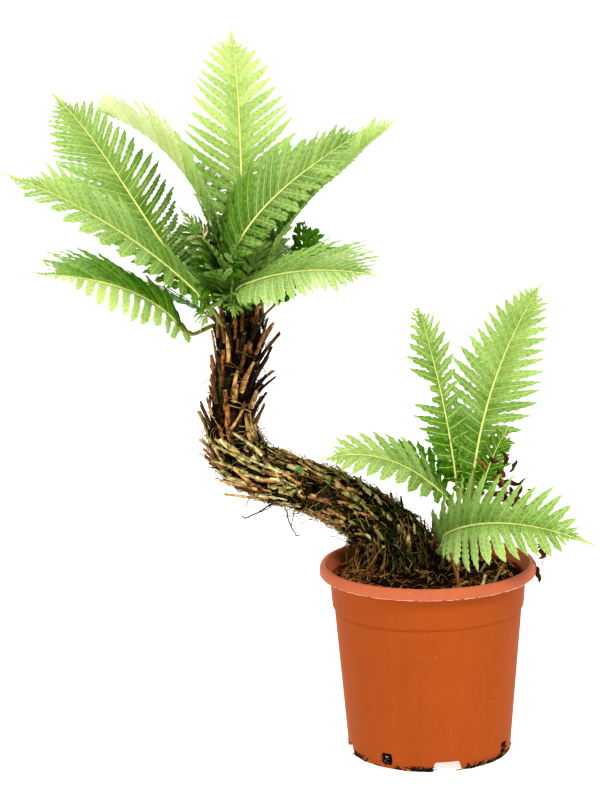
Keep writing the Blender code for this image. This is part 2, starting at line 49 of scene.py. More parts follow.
# Camera
CAMERA_PLACE = (-0.1373, -2.434, 0.867)
CAMERA_TILT = 10.91
CAMERA_ROLL = 1.27
CAMERA_LENS = 102.02
CAMERA_SENSOR = 36
CAMERA_REACH = 50


def linked(name, data):
    """A new object in the scene."""
    item = bpy.data.objects.new(name, data)
    bpy.context.scene.collection.objects.link(item)
    return item


def build_camera():
    data = bpy.data.cameras.new("camera")
    data.lens = CAMERA_LENS
    data.sensor_width = CAMERA_SENSOR
    data.clip_end = CAMERA_REACH
    camera = linked("camera", data)
    camera.matrix_world = (Matrix.Translation(CAMERA_PLACE)
                           @ Matrix.Rotation(math.radians(90 - CAMERA_TILT), 4, "X")
                           @ Matrix.Rotation(math.radians(-CAMERA_ROLL), 4, "Z"))
    scene = bpy.context.scene
    scene.camera = camera
    scene.view_settings.view_transform = "Standard"
    scene.view_settings.look = "Medium High Contrast"


build_camera()


# Materials
SUBSURFACE_DEPTH = 0.001


class Shade:
    """A Principled material whose colour, roughness and bump come from procedural nodes."""

    def __init__(self, name, roughness=0.5, specular=0.5, subsurface=0.0, radius=(1, 1, 1),
                 sheen=0.0):
        self.material = bpy.data.materials.new(name)
        self.material.use_nodes = True
        self.tree = self.material.node_tree
        self.sockets = self.tree.nodes["Principled BSDF"].inputs
        for socket, value in (("Roughness", roughness), ("Specular IOR Level", specular),
                              ("Subsurface Weight", subsurface), ("Subsurface Radius", radius),
                              ("Subsurface Scale", SUBSURFACE_DEPTH), ("Sheen Weight", sheen)):
            self.sockets[socket].default_value = value

    def feed(self, socket, value):
        """Links an output to a socket or sets the socket to a value."""
        if hasattr(value, "links"):
            self.tree.links.new(value, socket)
        else:
            socket.default_value = (*value, 1) if socket.type == "RGBA" else value

    def node(self, kind, **inputs):
        node = self.tree.nodes.new(kind)
        for key, value in inputs.items():
            name = key.replace("_", " ")
            if name in node.inputs:
                self.feed(node.inputs[name], value)
            else:
                setattr(node, key, value)
        return node

    def math(self, operation, *values):
        node = self.node("ShaderNodeMath", operation=operation)
        for socket, value in zip(node.inputs, values):
            self.feed(socket, value)
        return node.outputs[0]

    def place(self, stretch=(1, 1, 1), source="Object"):
        coordinates = self.node("ShaderNodeTexCoord").outputs[source]
        return self.node("ShaderNodeMapping", Vector=coordinates, Scale=stretch).outputs[0]

    def noise(self, scale, detail=3.0, roughness=0.5, vector=None):
        return self.node("ShaderNodeTexNoise", Scale=scale, Detail=detail, Roughness=roughness,
                         Vector=vector or self.place()).outputs["Fac"]

    def ramp(self, value, stops):
        node = self.node("ShaderNodeValToRGB", Fac=value)
        elements = node.color_ramp.elements
        while len(elements) < len(stops):
            elements.new(0.5)
        for element, (place, colour) in zip(elements, stops):
            element.position = place
            element.color = (*colour, 1)
        return node.outputs[0]

    def fade(self, value, first, last, start=0, end=1):
        """A grey that goes from start, where the value is first, to end, where it is last."""
        return self.ramp(value, ((first, (start,) * 3), (last, (end,) * 3)))

    def mix(self, share, first, second):
        node = self.node("ShaderNodeMix", data_type="RGBA")
        for index, value in ((0, share), (6, first), (7, second)):
            self.feed(node.inputs[index], value)
        return node.outputs[2]

    def colour(self, value):
        self.feed(self.sockets["Base Color"], value)

    def rough(self, value, spread, least):
        self.feed(self.sockets["Roughness"], self.math("MULTIPLY_ADD", value, spread, least))

    def bump(self, height, distance, strength=1.0):
        node = self.node("ShaderNodeBump", Height=height, Distance=distance, Strength=strength)
        self.feed(self.sockets["Normal"], node.outputs[0])


def tone(colour, factor):
    return tuple(min(channel * factor, 1.0) for channel in colour)


def leaf_tone(colour, factor):
    """A lighter or darker leaf colour; the darker ones are the more saturated."""
    powers = (1.15, 1.0, 1.7)
    return tuple(min(channel * factor ** power, 1.0) for channel, power in zip(colour, powers))


def leaf_shade(name, colour, contrast=1.0, glow=0.30):
    """A leaf: painted shade by the rib and where leaflets join, puckered with painted highlights on
    the crests and painted shade in the hollows, and a little translucent.
    """
    glossy = colour[1] > 0.3
    shade = Shade(name, 0.48, 0.20 if glossy else 0.05, glow, (0.7, 1.0, 0.2))
    split = shade.node("ShaderNodeSeparateXYZ", Vector=shade.place(source="UV"))
    width = shade.math("ABSOLUTE", split.outputs[1])
    away = shade.math("MULTIPLY", split.outputs[0], 1 / 12)
    away.node.use_clamp = True
    grain = shade.noise(1.0, 1, 0.4, shade.place((1.35, 1.5, 1), "UV"))
    crest = shade.math("SINE", shade.math("MULTIPLY", width, math.pi))
    # Puckers: their bump, with a painted highlight on their crests and painted shade in their
    # hollows
    pucker_and_highlight = shade.math("MULTIPLY", shade.fade(grain, 0.50, 0.60), crest)
    painted_hollow_shade = shade.math("MULTIPLY", shade.fade(grain, 0.36, 0.46, 1, 0), crest)
    # Painted shade where leaflets join, strongest near the rib
    painted_joint_shade = shade.math("MULTIPLY", shade.math("POWER", width, 4.0),
                        shade.math("SUBTRACT", 1.0, away))
    cloud = shade.noise(45)
    # Painted shade: darker by the rib, lighter towards the leaflet's tip
    look = shade.mix(away, leaf_tone(colour, 1 - 0.46 * contrast),
                     leaf_tone(colour, 1 + 0.20 * contrast))
    # Mix in the painted shade where leaflets join and in the hollows, and the painted highlight on
    # the crests
    for mask, share, factor in ((painted_joint_shade, 0.70, 0.30), (painted_hollow_shade, 0.62, 0.42), (pucker_and_highlight, 0.34, 1.5)):
        look = shade.mix(shade.math("MULTIPLY", mask, share * contrast), look,
                         leaf_tone(colour, factor))
    shade.colour(shade.mix(shade.fade(cloud, 0.38, 0.62), look,
                           shade.mix(0.26 * contrast, look, leaf_tone(colour, 0.45))))
    shade.bump(pucker_and_highlight, 0.0006, 0.5)
    shade.rough(cloud, 0.2, 0.36)
    return shade.material


def stem_shade(name, colour, dark):
    """A smooth stalk with faint streaks along it."""
    shade = Shade(name, 0.42, subsurface=0.15, radius=(0.8, 1.0, 0.3))
    streaks = shade.noise(160, vector=shade.place((1, 1, 0.35)))
    shade.colour(shade.ramp(streaks, ((0.30, dark), (0.62, colour))))
    shade.bump(shade.noise(700, 2), 0.0003, 0.35)
    return shade.material


def fibre_shade(name, colour, dark, roughness=0.85):
    """Dry plant fibre with streaks along each stick: UV x runs along it and UV y round it."""
    shade = Shade(name, roughness, 0.10, sheen=0.03)
    grain = shade.noise(1.0, 4, 0.6, shade.place((10, 8, 1), "UV"))
    patches = shade.noise(150)
    streaked = shade.ramp(grain, ((0.32, dark), (0.47, tone(colour, 0.72)),
                                  (0.64, tone(colour, 1.30))))
    shade.colour(shade.mix(shade.fade(patches, 0.47, 0.66, 0, 0.88), streaked, tone(dark, 0.7)))
    shade.bump(shade.math("ADD", grain, shade.math("MULTIPLY", patches, 0.4)), 0.0009, 0.9)
    return shade.material


# Greens from the darkest, which are painted shade for the crown's heart, to the palest young tips,
# and the dead brown; the two palest steps are painted light on the brightest fronds
LEAF_RAMP = (
    (0.014, 0.078, 0.001), (0.034, 0.148, 0.002), (0.068, 0.222, 0.004), (0.112, 0.290, 0.012),
    (0.175, 0.345, 0.040), (0.250, 0.410, 0.090), (0.322, 0.488, 0.128), (0.396, 0.568, 0.160),
    (0.475, 0.650, 0.198), (0.560, 0.732, 0.238), (0.655, 0.808, 0.290), (0.800, 0.900, 0.420),
    (0.900, 0.970, 0.560),
)
DEAD_TONE = len(LEAF_RAMP)
# Each green's painted shade and highlights, and its mottling, are weaker on the paler steps
LEAVES = [leaf_shade("leaf_%02d" % number, colour, 1.1 - 0.06 * number)
          for number, colour in enumerate(LEAF_RAMP)]
LEAVES.append(leaf_shade("leaf_dead", (0.22, 0.082, 0.025), 1.0, 0.0))
STALK_SHADES = {row[0]: stem_shade(*row) for row in (
    ("midrib_dark", (0.17, 0.34, 0.04), (0.08, 0.22, 0.02)),
    ("midrib_pale", (0.62, 0.80, 0.27), (0.45, 0.66, 0.15)),
    ("midrib_soft", (0.56, 0.78, 0.18), (0.38, 0.62, 0.09)),
    ("rachis", (0.86, 0.87, 0.32), (0.66, 0.74, 0.20)),
    ("stipe", (0.34, 0.33, 0.04), (0.13, 0.12, 0.012)),
    ("stipe_brown", (0.20, 0.11, 0.025), (0.06, 0.03, 0.008)),
)}
STALK_SHADES["dead_stem"] = fibre_shade("dead_stem", (0.25, 0.11, 0.04), (0.05, 0.02, 0.01))
# The midribs', lower stalk's and upper stalk's materials of each kind of frond; the dark kind goes
# with the fronds painted dark as shade
STALKS = {kind: [STALK_SHADES[name] for name in names] for kind, names in (
    ("pale", ("midrib_pale", "stipe", "rachis")),
    ("soft", ("midrib_soft", "stipe", "rachis")),
    ("dark", ("midrib_dark", "stipe_brown", "midrib_dark")),
    ("dead", ("dead_stem", "dead_stem", "dead_stem")),
)}
# Materials of the cut leaf bases
REDDISH, TAN, UMBER, OLIVE, STRAW, BLACK, CUT = range(7)
STICKS = [fibre_shade(*row) for row in (
    ("stick_reddish", (0.50, 0.205, 0.064), (0.050, 0.014, 0.004)),
    ("stick_tan", (0.82, 0.46, 0.170), (0.11, 0.042, 0.010)),
    ("stick_umber", (0.17, 0.075, 0.022), (0.018, 0.007, 0.002)),
    ("stick_olive", (0.60, 0.53, 0.185), (0.056, 0.044, 0.010)),
    ("stick_straw", (1.0, 0.90, 0.410), (0.25, 0.17, 0.038)),
    ("stick_black", (0.040, 0.022, 0.010), (0.006, 0.004, 0.002)),
    ("cut_end", (0.80, 0.55, 0.26), (0.24, 0.12, 0.04)),
)]
ROOTS = [fibre_shade(*row) for row in (
    ("root_tan", (0.70, 0.39, 0.105), (0.15, 0.06, 0.012)),
    ("root_red", (0.44, 0.16, 0.045), (0.09, 0.025, 0.006)),
    ("root_black", (0.016, 0.011, 0.008), (0.004, 0.003, 0.002), 0.6),
    ("root_olive", (0.34, 0.30, 0.09), (0.07, 0.06, 0.016)),
    ("root_straw", (0.72, 0.55, 0.24), (0.30, 0.19, 0.06)),
)]
ROOT_TAN, ROOT_BLACK = ROOTS[0], ROOTS[2]


def bark_shade():
    shade = Shade("bark_core", 0.95, 0.05)
    clumps = shade.noise(110, 5, 0.65)
    moss = shade.noise(38, 4, 0.6)
    brown = shade.ramp(clumps, ((0.38, (0.004, 0.002, 0.001)), (0.56, (0.016, 0.009, 0.003)),
                                (0.72, (0.125, 0.078, 0.026))))
    green = shade.ramp(clumps, ((0.42, (0.012, 0.016, 0.002)), (0.66, (0.075, 0.090, 0.012))))
    shade.colour(shade.mix(shade.fade(moss, 0.50, 0.66, 0, 0.6), brown, green))
    shade.bump(shade.noise(420, 5, 0.7), 0.0025)
    return shade.material


def soil_shade():
    shade = Shade("soil_crumbs", 0.97, 0.05)
    shade.colour(shade.ramp(shade.noise(260, 6, 0.7), (
        (0.38, (0.004, 0.002, 0.001)), (0.56, (0.018, 0.008, 0.002)),
        (0.74, (0.15, 0.062, 0.014)))))
    shade.bump(shade.noise(520, 6, 0.75), 0.003)
    return shade.material


def pot_shade(name, colour, roughness):
    """Moulded terracotta-coloured plastic with faint clouds, specks and scuffs."""
    shade = Shade(name, specular=0.06)
    clouds = shade.noise(9, 4, 0.6)
    streaks = shade.noise(26, 4, 0.6, shade.place((1, 1, 0.12)))
    specks = shade.noise(480, 2, 0.4)
    cloudy = shade.math("MULTIPLY_ADD", streaks, 0.5, shade.math("MULTIPLY", clouds, 0.5))
    look = shade.ramp(cloudy, ((0.36, tone(colour, 0.93)), (0.64, tone(colour, 1.06))))
    look = shade.mix(shade.fade(specks, 0.722, 0.760, 0, 0.24), look, (0.85, 0.55, 0.40))
    shade.colour(shade.mix(shade.fade(specks, 0.262, 0.290, 0.6, 0), look, tone(colour, 0.45)))
    shade.rough(clouds, 0.22, roughness - 0.11)
    shade.bump(shade.math("MULTIPLY_ADD", shade.noise(1500, 2), 0.4, streaks), 0.0002, 0.5)
    return shade.material


BARK = bark_shade()
SOIL = soil_shade()
POT_BODY = pot_shade("pot_body", (0.372, 0.080, 0.013), 0.55)
# The lip's lighter, pinker colour is partly its own and partly a painted highlight where it faces
# up to the light
POT_LIP_AND_HIGHLIGHT = pot_shade("pot_lip_and_highlight", (0.505, 0.142, 0.064), 0.45)
# The flash's pale colour is a painted highlight on the thin edge of the plastic
POT_FLASH_HIGHLIGHT = pot_shade("pot_flash_highlight", (0.90, 0.62, 0.50), 0.6)
MOSS = leaf_shade("moss", (0.10, 0.20, 0.02), 1.0, 0.2)
MOSS_BRIGHT = leaf_shade("moss_bright", (0.30, 0.64, 0.14), 1.0, 0.2)


# Meshes
# UV per metre along a tube and on its cut end
STREAK_SCALE = 12
CUT_SCALE = 90


class Heap:
    """Collects points, faces, material numbers and UVs, and makes one object of them."""

    def __init__(self):
        self.points = []
        self.uvs = []
        self.faces = []
        self.slots = []
        self.count = 0

    def add(self, points, faces, slot, uvs=None):
        points = np.asarray(points, float).reshape(-1, 3)
        faces = np.asarray(faces, int)
        self.points.append(points)
        uvs = np.zeros((len(points), 2)) if uvs is None else np.asarray(uvs, float).reshape(-1, 2)
        self.uvs.append(uvs)
        self.faces.append(faces + self.count)
        self.slots.append(np.broadcast_to(slot, len(faces)))
        self.count += len(points)

    def build(self, name, materials, replaced=()):
        points = np.concatenate(self.points)
        corners = np.concatenate([faces.ravel() for faces in self.faces])
        sizes = np.concatenate([np.full(len(faces), faces.shape[1]) for faces in self.faces])
        starts = np.concatenate([[0], np.cumsum(sizes)[:-1]])
        mesh = bpy.data.meshes.new(name)
        mesh.vertices.add(len(points))
        mesh.loops.add(len(corners))
        mesh.polygons.add(len(sizes))
        mesh.vertices.foreach_set("co", points.ravel())
        mesh.polygons.foreach_set("loop_start", starts)
        mesh.polygons.foreach_set("vertices", corners)
        mesh.update(calc_edges=True)
        mesh.shade_smooth()
        layer = mesh.uv_layers.new(name="grain")
        layer.data.foreach_set("uv", np.concatenate(self.uvs)[corners].ravel())
        slots = np.concatenate(self.slots)
        used = sorted(set(slots.tolist()))
        mesh.polygons.foreach_set("material_index", np.searchsorted(used, slots))
        for number in used:
            mesh.materials.append(materials[number])
        placed(linked(name, mesh), replaced)


def placed(item, replaced=()):
    """Lets a piece ride on the one body and hides the CAD parts that it stands for."""
    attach(item, "root")
    if replaced:
        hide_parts(*replaced)


def polar(radius, angle, height=0.0):
    return radius * math.cos(angle), radius * math.sin(angle), height


def unit(vectors):
    vectors = np.asarray(vectors, float)
    return vectors / np.maximum(np.linalg.norm(vectors, axis=-1, keepdims=True), 1e-12)


def eased(low, high, value):
    share = np.clip((value - low) / (high - low), 0, 1)
    return share * share * (3 - 2 * share)


def grid_faces(rows, columns, flip=False, closed=False):
    """Quads over a grid of rows by columns of points, closed round its columns if asked."""
    strips = columns if closed else columns - 1
    row, column = np.meshgrid(np.arange(rows - 1), np.arange(strips), indexing="ij")
    after = (column + 1) % columns
    first, second = row * columns, (row + 1) * columns
    quads = np.stack([first + column, second + column, second + after, first + after], -1)
    quads = quads.reshape(-1, 4)
    return quads[:, ::-1] if flip else quads


def tube(heap, path, radii, sides, slot, flat=1.0, level=None, cap_slot=None, rough=0.0, draw=None):
    """A tapering tube along a path. flat is its thickness over its width, and level its wide side.

    rough makes its section uneven and its capped end ragged.
    """
    path = np.asarray(path, float)
    radii = np.broadcast_to(np.asarray(radii, float), len(path))
    tangents = unit(np.gradient(path, axis=0))
    if level is None:
        level = (0.31, 0.57, 0.76) if abs(tangents[0][2]) < 0.9 else (0.9, 0.4, 0.1)
        level = np.cross(tangents[0], level)
    wide = unit(level - tangents * (tangents @ level)[:, None])
    thick = np.cross(tangents, wide)
    angles = np.arange(sides) / sides * FULL_TURN
    cosines, sines = np.cos(angles)[None, :, None], np.sin(angles)[None, :, None]
    sizes = radii[:, None, None]
    rings = (path[:, None] + wide[:, None] * (cosines * sizes)
             + thick[:, None] * (sines * sizes * flat))
    if rough and draw:
        wobble = np.array([draw.uniform(-rough, rough) for number in range(sides)])
        outward = wide[:, None] * cosines + thick[:, None] * sines
        rings += outward * (wobble[None, :, None] * sizes)
        if cap_slot is not None:
            torn = np.array([draw.uniform(-5, 3) * rough for number in range(sides)])
            rings[-1] += tangents[-1] * (torn * radii[-1])[:, None]
    lengths = np.concatenate([[0], np.cumsum(np.linalg.norm(np.diff(path, axis=0), axis=1))])
    offset = draw.uniform(0, 9) if draw else 0
    uvs = np.stack(np.broadcast_arrays(lengths[:, None] * STREAK_SCALE + offset,
                                       angles[None, :] / FULL_TURN + offset), -1)
    heap.add(rings, grid_faces(len(path), sides, closed=True, flip=True), slot, uvs)
    if cap_slot is not None:
        end = rings[-1]
        middle = end.mean(axis=0) - tangents[-1] * radii[-1] * 0.3
        points = np.concatenate([end, [middle]])
        fan = [(number, (number + 1) % sides, sides) for number in range(sides)]
        heap.add(points, fan, cap_slot, points[:, :2] * CUT_SCALE)


def scatter(draw, spread):
    return np.array([draw.gauss(0, spread) for axis in range(3)])


def wander(draw, start, direction, length, steps, turn, pull=(0, 0, 0)):
    """A wavering path, such as a root's: each step turns a little and is pulled one way."""
    path = [np.array(start, float)]
    heading = unit(direction)
    for step in range(steps):
        heading = unit(heading + scatter(draw, turn) + np.array(pull))
        path.append(path[-1] + heading * (length / steps))
    return np.array(path)


# Pot
POT_SIDES = 144
POT_HEIGHT = 0.213
RIM_RADIUS = 0.120
RIM_OPENING = 0.112
RIM_DEPTH = 0.012
BAND_RADIUS = 0.106
BAND_FOOT = 0.165
BODY_TOP_RADIUS = 0.1037
BASE_RADIUS = 0.0905
WALL = 0.0022
FOOT_RING_WIDTH = 0.004
PLATE_UNDERSIDE = 0.010
PLATE_TOP = 0.0125
CENTRE_FOOT_RADIUS = 0.024
NOTCH_HEADINGS = (9, 99, 189, 279)
NOTCH_SIZE = (0.027, 0.011)
NOTCH_SPLAY = 0.004
HOLE_HEADINGS = (56, 146, 236, 330)
HOLE_SIZE = (0.0135, 0.0135)
HOLE_FOOT = 0.004
CORNER = 0.003
ROUNDING = 0.0009
CUTTER_REACH = (0.080, 0.100)
SHARP_ANGLE = 38


def rounded(profile, radius, steps=3):
    """The profile with each corner turned on a small curve."""
    result = [profile[0]]
    for before, corner, after in zip(profile, profile[1:], profile[2:]):
        before, corner, after = map(np.array, (before, corner, after))
        first = corner + (before - corner) * min(radius / np.linalg.norm(before - corner), 0.45)
        last = corner + (after - corner) * min(radius / np.linalg.norm(after - corner), 0.45)
        for step in range(steps + 1):
            t = step / steps
            result.append(tuple((1 - t) ** 2 * first + 2 * t * (1 - t) * corner + t * t * last))
    result.append(profile[-1])
    return result


def prism_mesh(name, prisms):
    """Prisms that are cut through the wall, each with its heading and outline."""
    points, faces = [], []
    for heading, outline in prisms:
        spin = Matrix.Rotation(math.radians(heading), 3, "Z")
        first, count = len(points), len(outline)
        points += [spin @ Vector((depth, x, z)) for depth in CUTTER_REACH for x, z in outline]
        faces.append([first + corner for corner in range(count)][::-1])
        faces.append([first + count + corner for corner in range(count)])
        for corner in range(count):
            after = (corner + 1) % count
            faces.append([first + corner, first + after,
                          first + count + after, first + count + corner])
    mesh = bpy.data.meshes.new(name)
    mesh.from_pydata(points, [], faces)
    return mesh


def notch_outline():
    """A notch that widens towards the floor, with rounded upper corners."""
    half, top = NOTCH_SIZE[0] / 2, NOTCH_SIZE[1]
    foot = half + NOTCH_SPLAY
    corners = [(-foot, -0.001), (foot, -0.001), (half, top), (-half, top), (-foot, -0.001)]
    return rounded(corners, 0.002, 4)[:-1]


def hole_outline():
    """A square drainage hole with rounded corners."""
    half, foot, top = HOLE_SIZE[0] / 2, HOLE_FOOT, HOLE_FOOT + HOLE_SIZE[1]
    corners = [(0, foot), (half, foot), (half, top), (-half, top), (-half, foot), (0, foot)]
    return rounded(corners, CORNER, 4)[:-1]


def pot_profile():
    """Radius and height along the pot's section, up its outside and down its inside."""
    lip_foot = POT_HEIGHT - RIM_DEPTH
    ring_inside = BASE_RADIUS - FOOT_RING_WIDTH
    corners = [
        (CENTRE_FOOT_RADIUS - 0.002, 0.0001), (CENTRE_FOOT_RADIUS, PLATE_UNDERSIDE),
        (ring_inside - 0.001, PLATE_UNDERSIDE), (ring_inside, 0), (BASE_RADIUS, 0),
        (BASE_RADIUS + 0.0017, 0.020), (BODY_TOP_RADIUS, BAND_FOOT - 0.0050),
        (BODY_TOP_RADIUS - 0.0008, BAND_FOOT - 0.0022), (BAND_RADIUS, BAND_FOOT),
        (BAND_RADIUS + 0.0009, BAND_FOOT + 0.010), (BAND_RADIUS + 0.0025, lip_foot - 0.001),
        (RIM_RADIUS - 0.0015, lip_foot), (RIM_RADIUS, lip_foot + 0.0014),
        (RIM_RADIUS - 0.0003, POT_HEIGHT - 0.0045), (RIM_RADIUS - 0.0022, POT_HEIGHT - 0.0006),
        (RIM_RADIUS - 0.0042, POT_HEIGHT), (RIM_OPENING + 0.0012, POT_HEIGHT - 0.0005),
        (RIM_OPENING, POT_HEIGHT - 0.003), (BAND_RADIUS + 0.0025 - WALL, lip_foot - 0.002),
        (BAND_RADIUS - WALL, BAND_FOOT), (BODY_TOP_RADIUS - WALL, BAND_FOOT - 0.003),
        (BASE_RADIUS - WALL, PLATE_TOP),
    ]
    return rounded(corners, ROUNDING)


def turned_mesh(name, draw):
    """The pot's section turned round, closed in its axis and slightly uneven below the lip."""
    lip_foot = POT_HEIGHT - RIM_DEPTH
    body = bmesh.new()
    rings = []
    for radius, height in pot_profile():
        ring = []
        flash = abs(height - lip_foot - 0.0008) < 0.0009 and radius > RIM_RADIUS - 0.003
        for side in range(POT_SIDES):
            grow = draw.uniform(-0.00005, 0.00035) if flash else 0
            drop = draw.uniform(0, 0.0004) if flash else 0
            angle = FULL_TURN * side / POT_SIDES
            ring.append(body.verts.new(polar(radius + grow, angle, height - drop)))
        rings.append(ring)
    foot = body.verts.new((0, 0, 0.0001))
    plate = body.verts.new((0, 0, PLATE_TOP))
    for lower, upper in zip(rings, rings[1:]):
        for side in range(POT_SIDES):
            after = (side + 1) % POT_SIDES
            body.faces.new((lower[side], lower[after], upper[after], upper[side]))
    for side in range(POT_SIDES):
        after = (side + 1) % POT_SIDES
        body.faces.new((foot, rings[0][after], rings[0][side]))
        body.faces.new((plate, rings[-1][side], rings[-1][after]))
    bmesh.ops.recalc_face_normals(body, faces=body.faces)
    mesh = bpy.data.meshes.new(name)
    body.to_mesh(mesh)
    body.free()
    return mesh


def build_pot():
    pot = linked("pot_shell", turned_mesh("pot_turned", random.Random(41)))
    prisms = [(heading, notch_outline()) for heading in NOTCH_HEADINGS]
    prisms += [(heading, hole_outline()) for heading in HOLE_HEADINGS]
    cutter = linked("pot_cutter", prism_mesh("pot_cutter", prisms))
    cut = pot.modifiers.new("cut", "BOOLEAN")
    cut.operation = "DIFFERENCE"
    cut.solver = "EXACT"
    cut.object = cutter
    graph = bpy.context.evaluated_depsgraph_get()
    mesh = pot.data = bpy.data.meshes.new_from_object(pot.evaluated_get(graph))
    pot.modifiers.clear()
    bpy.data.objects.remove(cutter, do_unlink=True)
    mesh.materials.clear()
    mesh.materials.append(POT_BODY)
    mesh.materials.append(POT_LIP_AND_HIGHLIGHT)
    # Faces from the lip's foot up take the lip's colour, partly a painted highlight
    for face in mesh.polygons:
        face.material_index = int(face.center.z > POT_HEIGHT - RIM_DEPTH - 0.0015)
    mesh.shade_smooth()
    mesh.set_sharp_from_angle(angle=math.radians(SHARP_ANGLE))
    placed(pot, ["pot"])


def build_flash():
    """The thin, broken line of flash along the lower edge of the lip, painted pale as a highlight.
    """
    draw = random.Random(47)
    heap = Heap()
    steps = 5
    radius, height = RIM_RADIUS - 0.0012, POT_HEIGHT - RIM_DEPTH + 0.0002
    angle = 0.0
    while angle < FULL_TURN - 0.05:
        run = draw.uniform(0.03, 0.22)
        path = [polar(radius, angle + run * step / steps, height + draw.uniform(-0.0003, 0.0001))
                for step in range(steps + 1)]
        thick = [draw.uniform(0.00025, 0.0006) for point in path]
        tube(heap, path, thick, 5, 0, 0.8, np.array((0, 0, 1.0)), draw=draw)
        angle += run + draw.uniform(0.0, 0.05)
    heap.build("pot_flash_line", [POT_FLASH_HIGHLIGHT])


build_pot()
build_flash()


# Trunk
Station = namedtuple("Station", "place radius squash")
SOIL_MIDDLE = 0.194
SOIL_EDGE = 0.189
GAP = 0.0003
BEND = Vector((-0.2125, 0.0, 0.3645))
BEND_NORMAL = Vector((-0.10, 0.0, 1.0)).normalized()
CROWN_AXIS = Vector((-0.2006, 0.0, 0.0))
CROWN_TOP = 0.500
PUP_FOOT = Vector((0.047, 0.055, SOIL_MIDDLE + GAP))
PUP_TOP = 0.252


def stations(*rows):
    """A limb's places with their radius and, where it isn't round, their squash."""
    return [Station(Vector(row[:3]), row[3], row[4] if len(row) > 4 else 1.0) for row in rows]


ARM_STATIONS = stations(
    (-0.028, 0.052, SOIL_MIDDLE + GAP, 0.040, 1.30), (-0.036, 0.046, 0.224, 0.038, 1.10),
    (-0.064, 0.032, 0.256, 0.031), (-0.101, 0.018, 0.283, 0.029), (-0.139, 0.010, 0.301, 0.028),
    (-0.178, 0.003, 0.317, 0.029), (-0.203, 0.000, 0.338, 0.030), (*BEND, 0.027))
NECK_STATIONS = stations(
    (*(BEND + BEND_NORMAL * GAP), 0.027), (-0.2110, 0.0, 0.394, 0.024),
    (-0.2070, 0.0, 0.422, 0.0245), (-0.2025, 0.0, 0.455, 0.026),
    (CROWN_AXIS.x, 0.0, 0.480, 0.0265), (CROWN_AXIS.x, 0.0, 0.490, 0.021),
    (CROWN_AXIS.x, 0.0, CROWN_TOP, 0.007))
PUP_STATIONS = stations(
    (*PUP_FOOT, 0.020), (*(PUP_FOOT + Vector((0, 0, 0.020))), 0.017),
    (PUP_FOOT.x, PUP_FOOT.y, 0.238, 0.015), (PUP_FOOT.x, PUP_FOOT.y, PUP_TOP, 0.006))


class Limb:
    """A limb's smooth route with its radius and axes, sampled by its share from foot to tip."""

    def __init__(self, stations, first_normal, last_normal, settle):
        steps = 12
        padded = [stations[0]] + list(stations) + [stations[-1]]
        places, sizes = [], []
        for before, start, end, beyond in zip(padded, padded[1:], padded[2:], padded[3:]):
            for step in range(steps):
                t = step / steps
                places.append(0.5 * (
                    2 * start.place + (end.place - before.place) * t
                    + (2 * before.place - 5 * start.place + 4 * end.place - beyond.place) * t ** 2
                    + (3 * start.place - before.place - 3 * end.place + beyond.place) * t ** 3))
                sizes.append([start.radius + (end.radius - start.radius) * t,
                              start.squash + (end.squash - start.squash) * t])
        self.places = np.array(places + [stations[-1].place])
        self.radii, self.squashes = np.array(sizes + [stations[-1][1:]]).T
        tangents = unit(np.gradient(self.places, axis=0))
        share = np.clip(np.arange(len(self.places)) / (settle * steps), 0, 1)[:, None]
        self.tangents = unit(np.array(first_normal) * (1 - share) + tangents * share)
        self.tangents[-1] = last_normal
        self.uprights = unit(np.cross((0.0, 1.0, 0.0), self.tangents))
        self.levels = unit(np.cross(self.tangents, self.uprights))

    def at(self, share, angle):
        """Surface point, outward direction and tangent at a share and an angle round the limb."""
        position = np.clip(share, 0, 1) * (len(self.places) - 1)
        index = int(min(position, len(self.places) - 2))
        part = position - index
        place, radius, squash, upright, level, tangent = (
            values[index] * (1 - part) + values[index + 1] * part for values in (
                self.places, self.radii, self.squashes, self.uprights, self.levels, self.tangents))
        reach = upright * math.cos(angle) * squash + level * math.sin(angle)
        return place + reach * radius, unit(reach), unit(tangent)


def core(heap, limb, sides, slot, depth, recess, grain):
    """The limb's body with the relief of its bark, its ends left where they are."""
    rows = len(limb.places)
    points = np.zeros((rows, sides, 3))
    for row in range(rows):
        hold = min(row, rows - 1 - row, 4) / 4
        upright, level, squash = limb.uprights[row], limb.levels[row], limb.squashes[row]
        for side, angle in enumerate(np.arange(sides) / sides * FULL_TURN):
            reach = upright * math.cos(angle) * squash + level * math.sin(angle)
            place = limb.places[row] + reach * limb.radii[row]
            relief = noise.fractal(Vector(place * grain), 0.9, 2.1, 4) * depth - recess
            points[row, side] = place + unit(reach) * relief * hold
    heap.add(points, grid_faces(rows, sides, closed=True), slot)
    for row, flip in ((0, 1), (rows - 1, -1)):
        middle = points[row].mean(axis=0)
        fan = [(side, (side + 1) % sides, sides)[::flip] for side in range(sides)]
        heap.add(np.concatenate([points[row], [middle]]), fan, slot)


def stick(heap, draw, start, direction, outward, length, width, flat, slot, cut_slot, curve, end):
    """A cut leaf base: a flattened, slightly bent stalk with a torn, paler end."""
    steps = 8
    t = np.linspace(0, 1, steps)[:, None]
    sideways = unit(np.cross(direction, outward))
    path = start + direction * length * t + outward * (curve * length * t ** 2)
    path = path + sideways * (draw.uniform(-0.09, 0.09) * length * t ** 2)
    kink = sideways * draw.uniform(-0.02, 0.02) + outward * draw.uniform(-0.015, 0.015)
    path = path + kink * (length * np.sin(draw.uniform(4, 8) * t))
    radii = width / 2 * (1.10 - (1.10 - end) * t[:, 0])
    radii = radii * np.array([draw.uniform(0.88, 1.12) for step in range(steps)])
    tube(heap, path, radii, 8, slot, flat, sideways, cut_slot, 0.17, draw)


